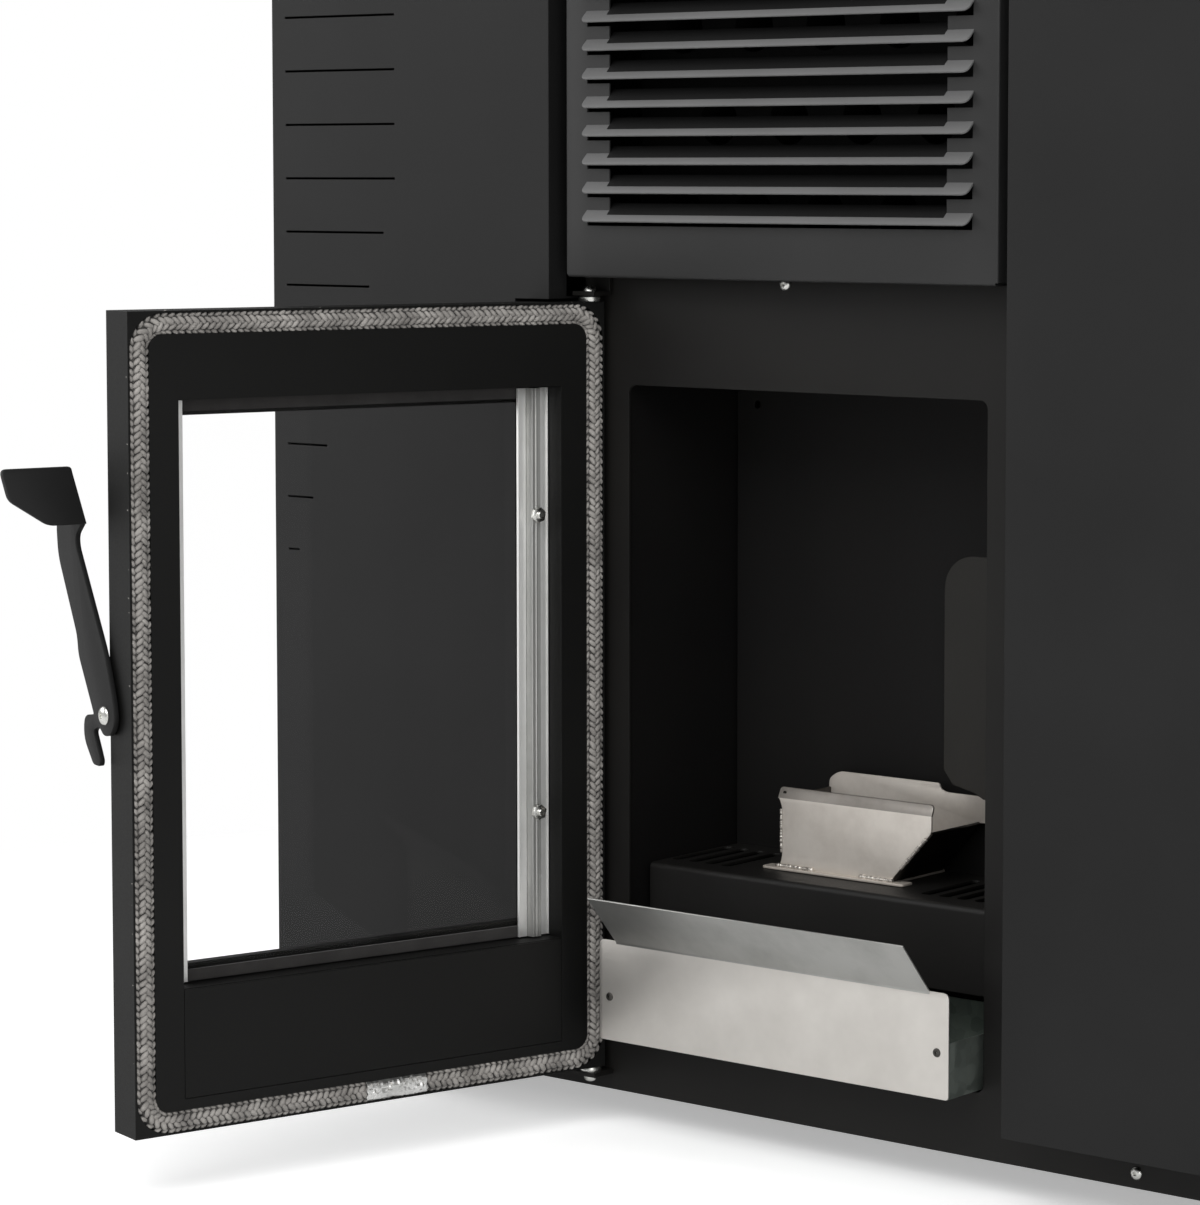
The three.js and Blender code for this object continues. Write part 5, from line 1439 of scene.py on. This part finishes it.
@dataclass
class Studio:
    """Camera, floor, lamps and world."""

    shop: Shop
    lens: float = 115.865
    sensor: float = 36.0
    shift: Flat = (-0.107996, -0.100306)
    far_clip: float = 60.0
    eye: Point = (1618.95, -2098.36, 686.89)
    azimuth: float = 38.268
    down: float = 4.479
    roll: float = 0.0896
    floor_reach: float = 8.0
    floor_fade: Flat = (0.75, 1.5)
    floor_glow: float = 0.4
    world_glow: float = 0.42

    # name, where it hangs, the point it faces, the side of its square, watts
    LAMPS = (
        ("key lamp", (0.6, -2.6, 3.0), (0.0, 0.0, 0.55), 2.6, 75.0),
        ("side lamp", (-3.0, -1.6, 1.8), (-0.1, 0.0, 0.5), 2.2, 38.0),
        ("camera side lamp", (3.2, -2.4, 1.6), (0.2, 0.0, 0.5), 2.4, 36.0),
    )

    def camera(self) -> None:
        """Sets the camera where the photograph was taken from."""
        data = bpy.data.cameras.new("camera")
        data.lens = self.lens
        data.sensor_width = self.sensor
        data.shift_x, data.shift_y = self.shift
        data.clip_end = self.far_clip
        made = put("camera", data)
        turn = Matrix.Rotation(math.radians(self.azimuth), 4, "Z")
        tip = Matrix.Rotation(math.radians(90.0 - self.down), 4, "X")
        spin = Matrix.Rotation(math.radians(self.roll), 4, "Z")
        spot = self.shop.place.base() @ Vector(self.eye)
        made.matrix_world = Matrix.Translation(spot) @ turn @ tip @ spin
        bpy.context.scene.camera = made

    def floor(self) -> None:
        """Lays a plain pale floor that keeps the stove's shadow."""
        mesh = bmesh.new()
        reach = self.floor_reach
        mesh.faces.new([mesh.verts.new((x, y, 0.0)) for x, y in block(-reach, -reach, reach, reach)])
        data = bpy.data.meshes.new("floor")
        mesh.to_mesh(data)
        mesh.free()
        made = put("floor", data)
        material, tree, place = new_tree("pale studio floor")
        mottle = add_node(tree, "TexNoise", {"Scale": 3.0, "Detail": 2.0}, {"Vector": place})
        colour = spread(tree, mottle, [(0.3, "f6f6f6"), (0.7, "fafafa")])
        matt = add_node(tree, "BsdfDiffuse", links={"Color": colour})
        # the floor runs out into the white surround with distance from the stove
        away = add_node(tree, "VectorMath", {"operation": "LENGTH"}, {0: place}).outputs["Value"]
        fade = span(tree, away, 0.0, 1.0, *self.floor_fade)
        glow = add_node(tree, "Emission", {"Strength": self.floor_glow})
        lifted = add_node(tree, "AddShader", links={0: matt, 1: glow})
        white = add_node(tree, "Emission", {"Strength": 1.0})
        shown = add_node(tree, "MixShader", links={0: fade, 1: lifted, 2: white})
        both = add_node(tree, "MixShader", links={0: seen_straight(tree), 1: matt, 2: shown})
        add_node(tree, "OutputMaterial", links={"Surface": both})
        data.materials.append(material)

    def lamps(self) -> None:
        """Hangs the square soft lamps."""
        for name, spot, aim, size, power in self.LAMPS:
            data = bpy.data.lights.new(name, "AREA")
            data.shape = "SQUARE"
            data.size = size
            data.energy = power
            made = put(name, data)
            made.location = spot
            made.rotation_euler = (Vector(aim) - Vector(spot)).to_track_quat("-Z", "Y").to_euler()

    def world(self) -> None:
        """Surrounds the stove with white, at a lower level where it lights matt surfaces."""
        made = bpy.data.worlds.new("studio")
        made.use_nodes = True
        tree = made.node_tree
        tree.nodes.clear()
        level = span(tree, seen_straight(tree), self.world_glow, 1.0, 0.0, 1.0)
        white = add_node(tree, "Background", {"Color": linear("ffffff")}, {"Strength": level})
        add_node(tree, "OutputWorld", links={"Surface": white})
        bpy.context.scene.world = made

    def build(self) -> None:
        """Sets up the studio."""
        self.camera()
        self.floor()
        self.world()
        self.lamps()
        bpy.context.scene.view_settings.view_transform = "Standard"


def main() -> None:
    """Builds the stove's pieces in order, then the studio round it."""
    logging.basicConfig(level=logging.INFO, format="%(name)s: %(message)s")
    shop = Shop(Palette())
    for kind in (StoveBody, GrillePanel, Door, Handle, BurnPot, AshDrawer, Studio):
        LOG.info("building %s", kind.__name__)
        kind(shop).build()


if __name__ == "__main__":
    main()
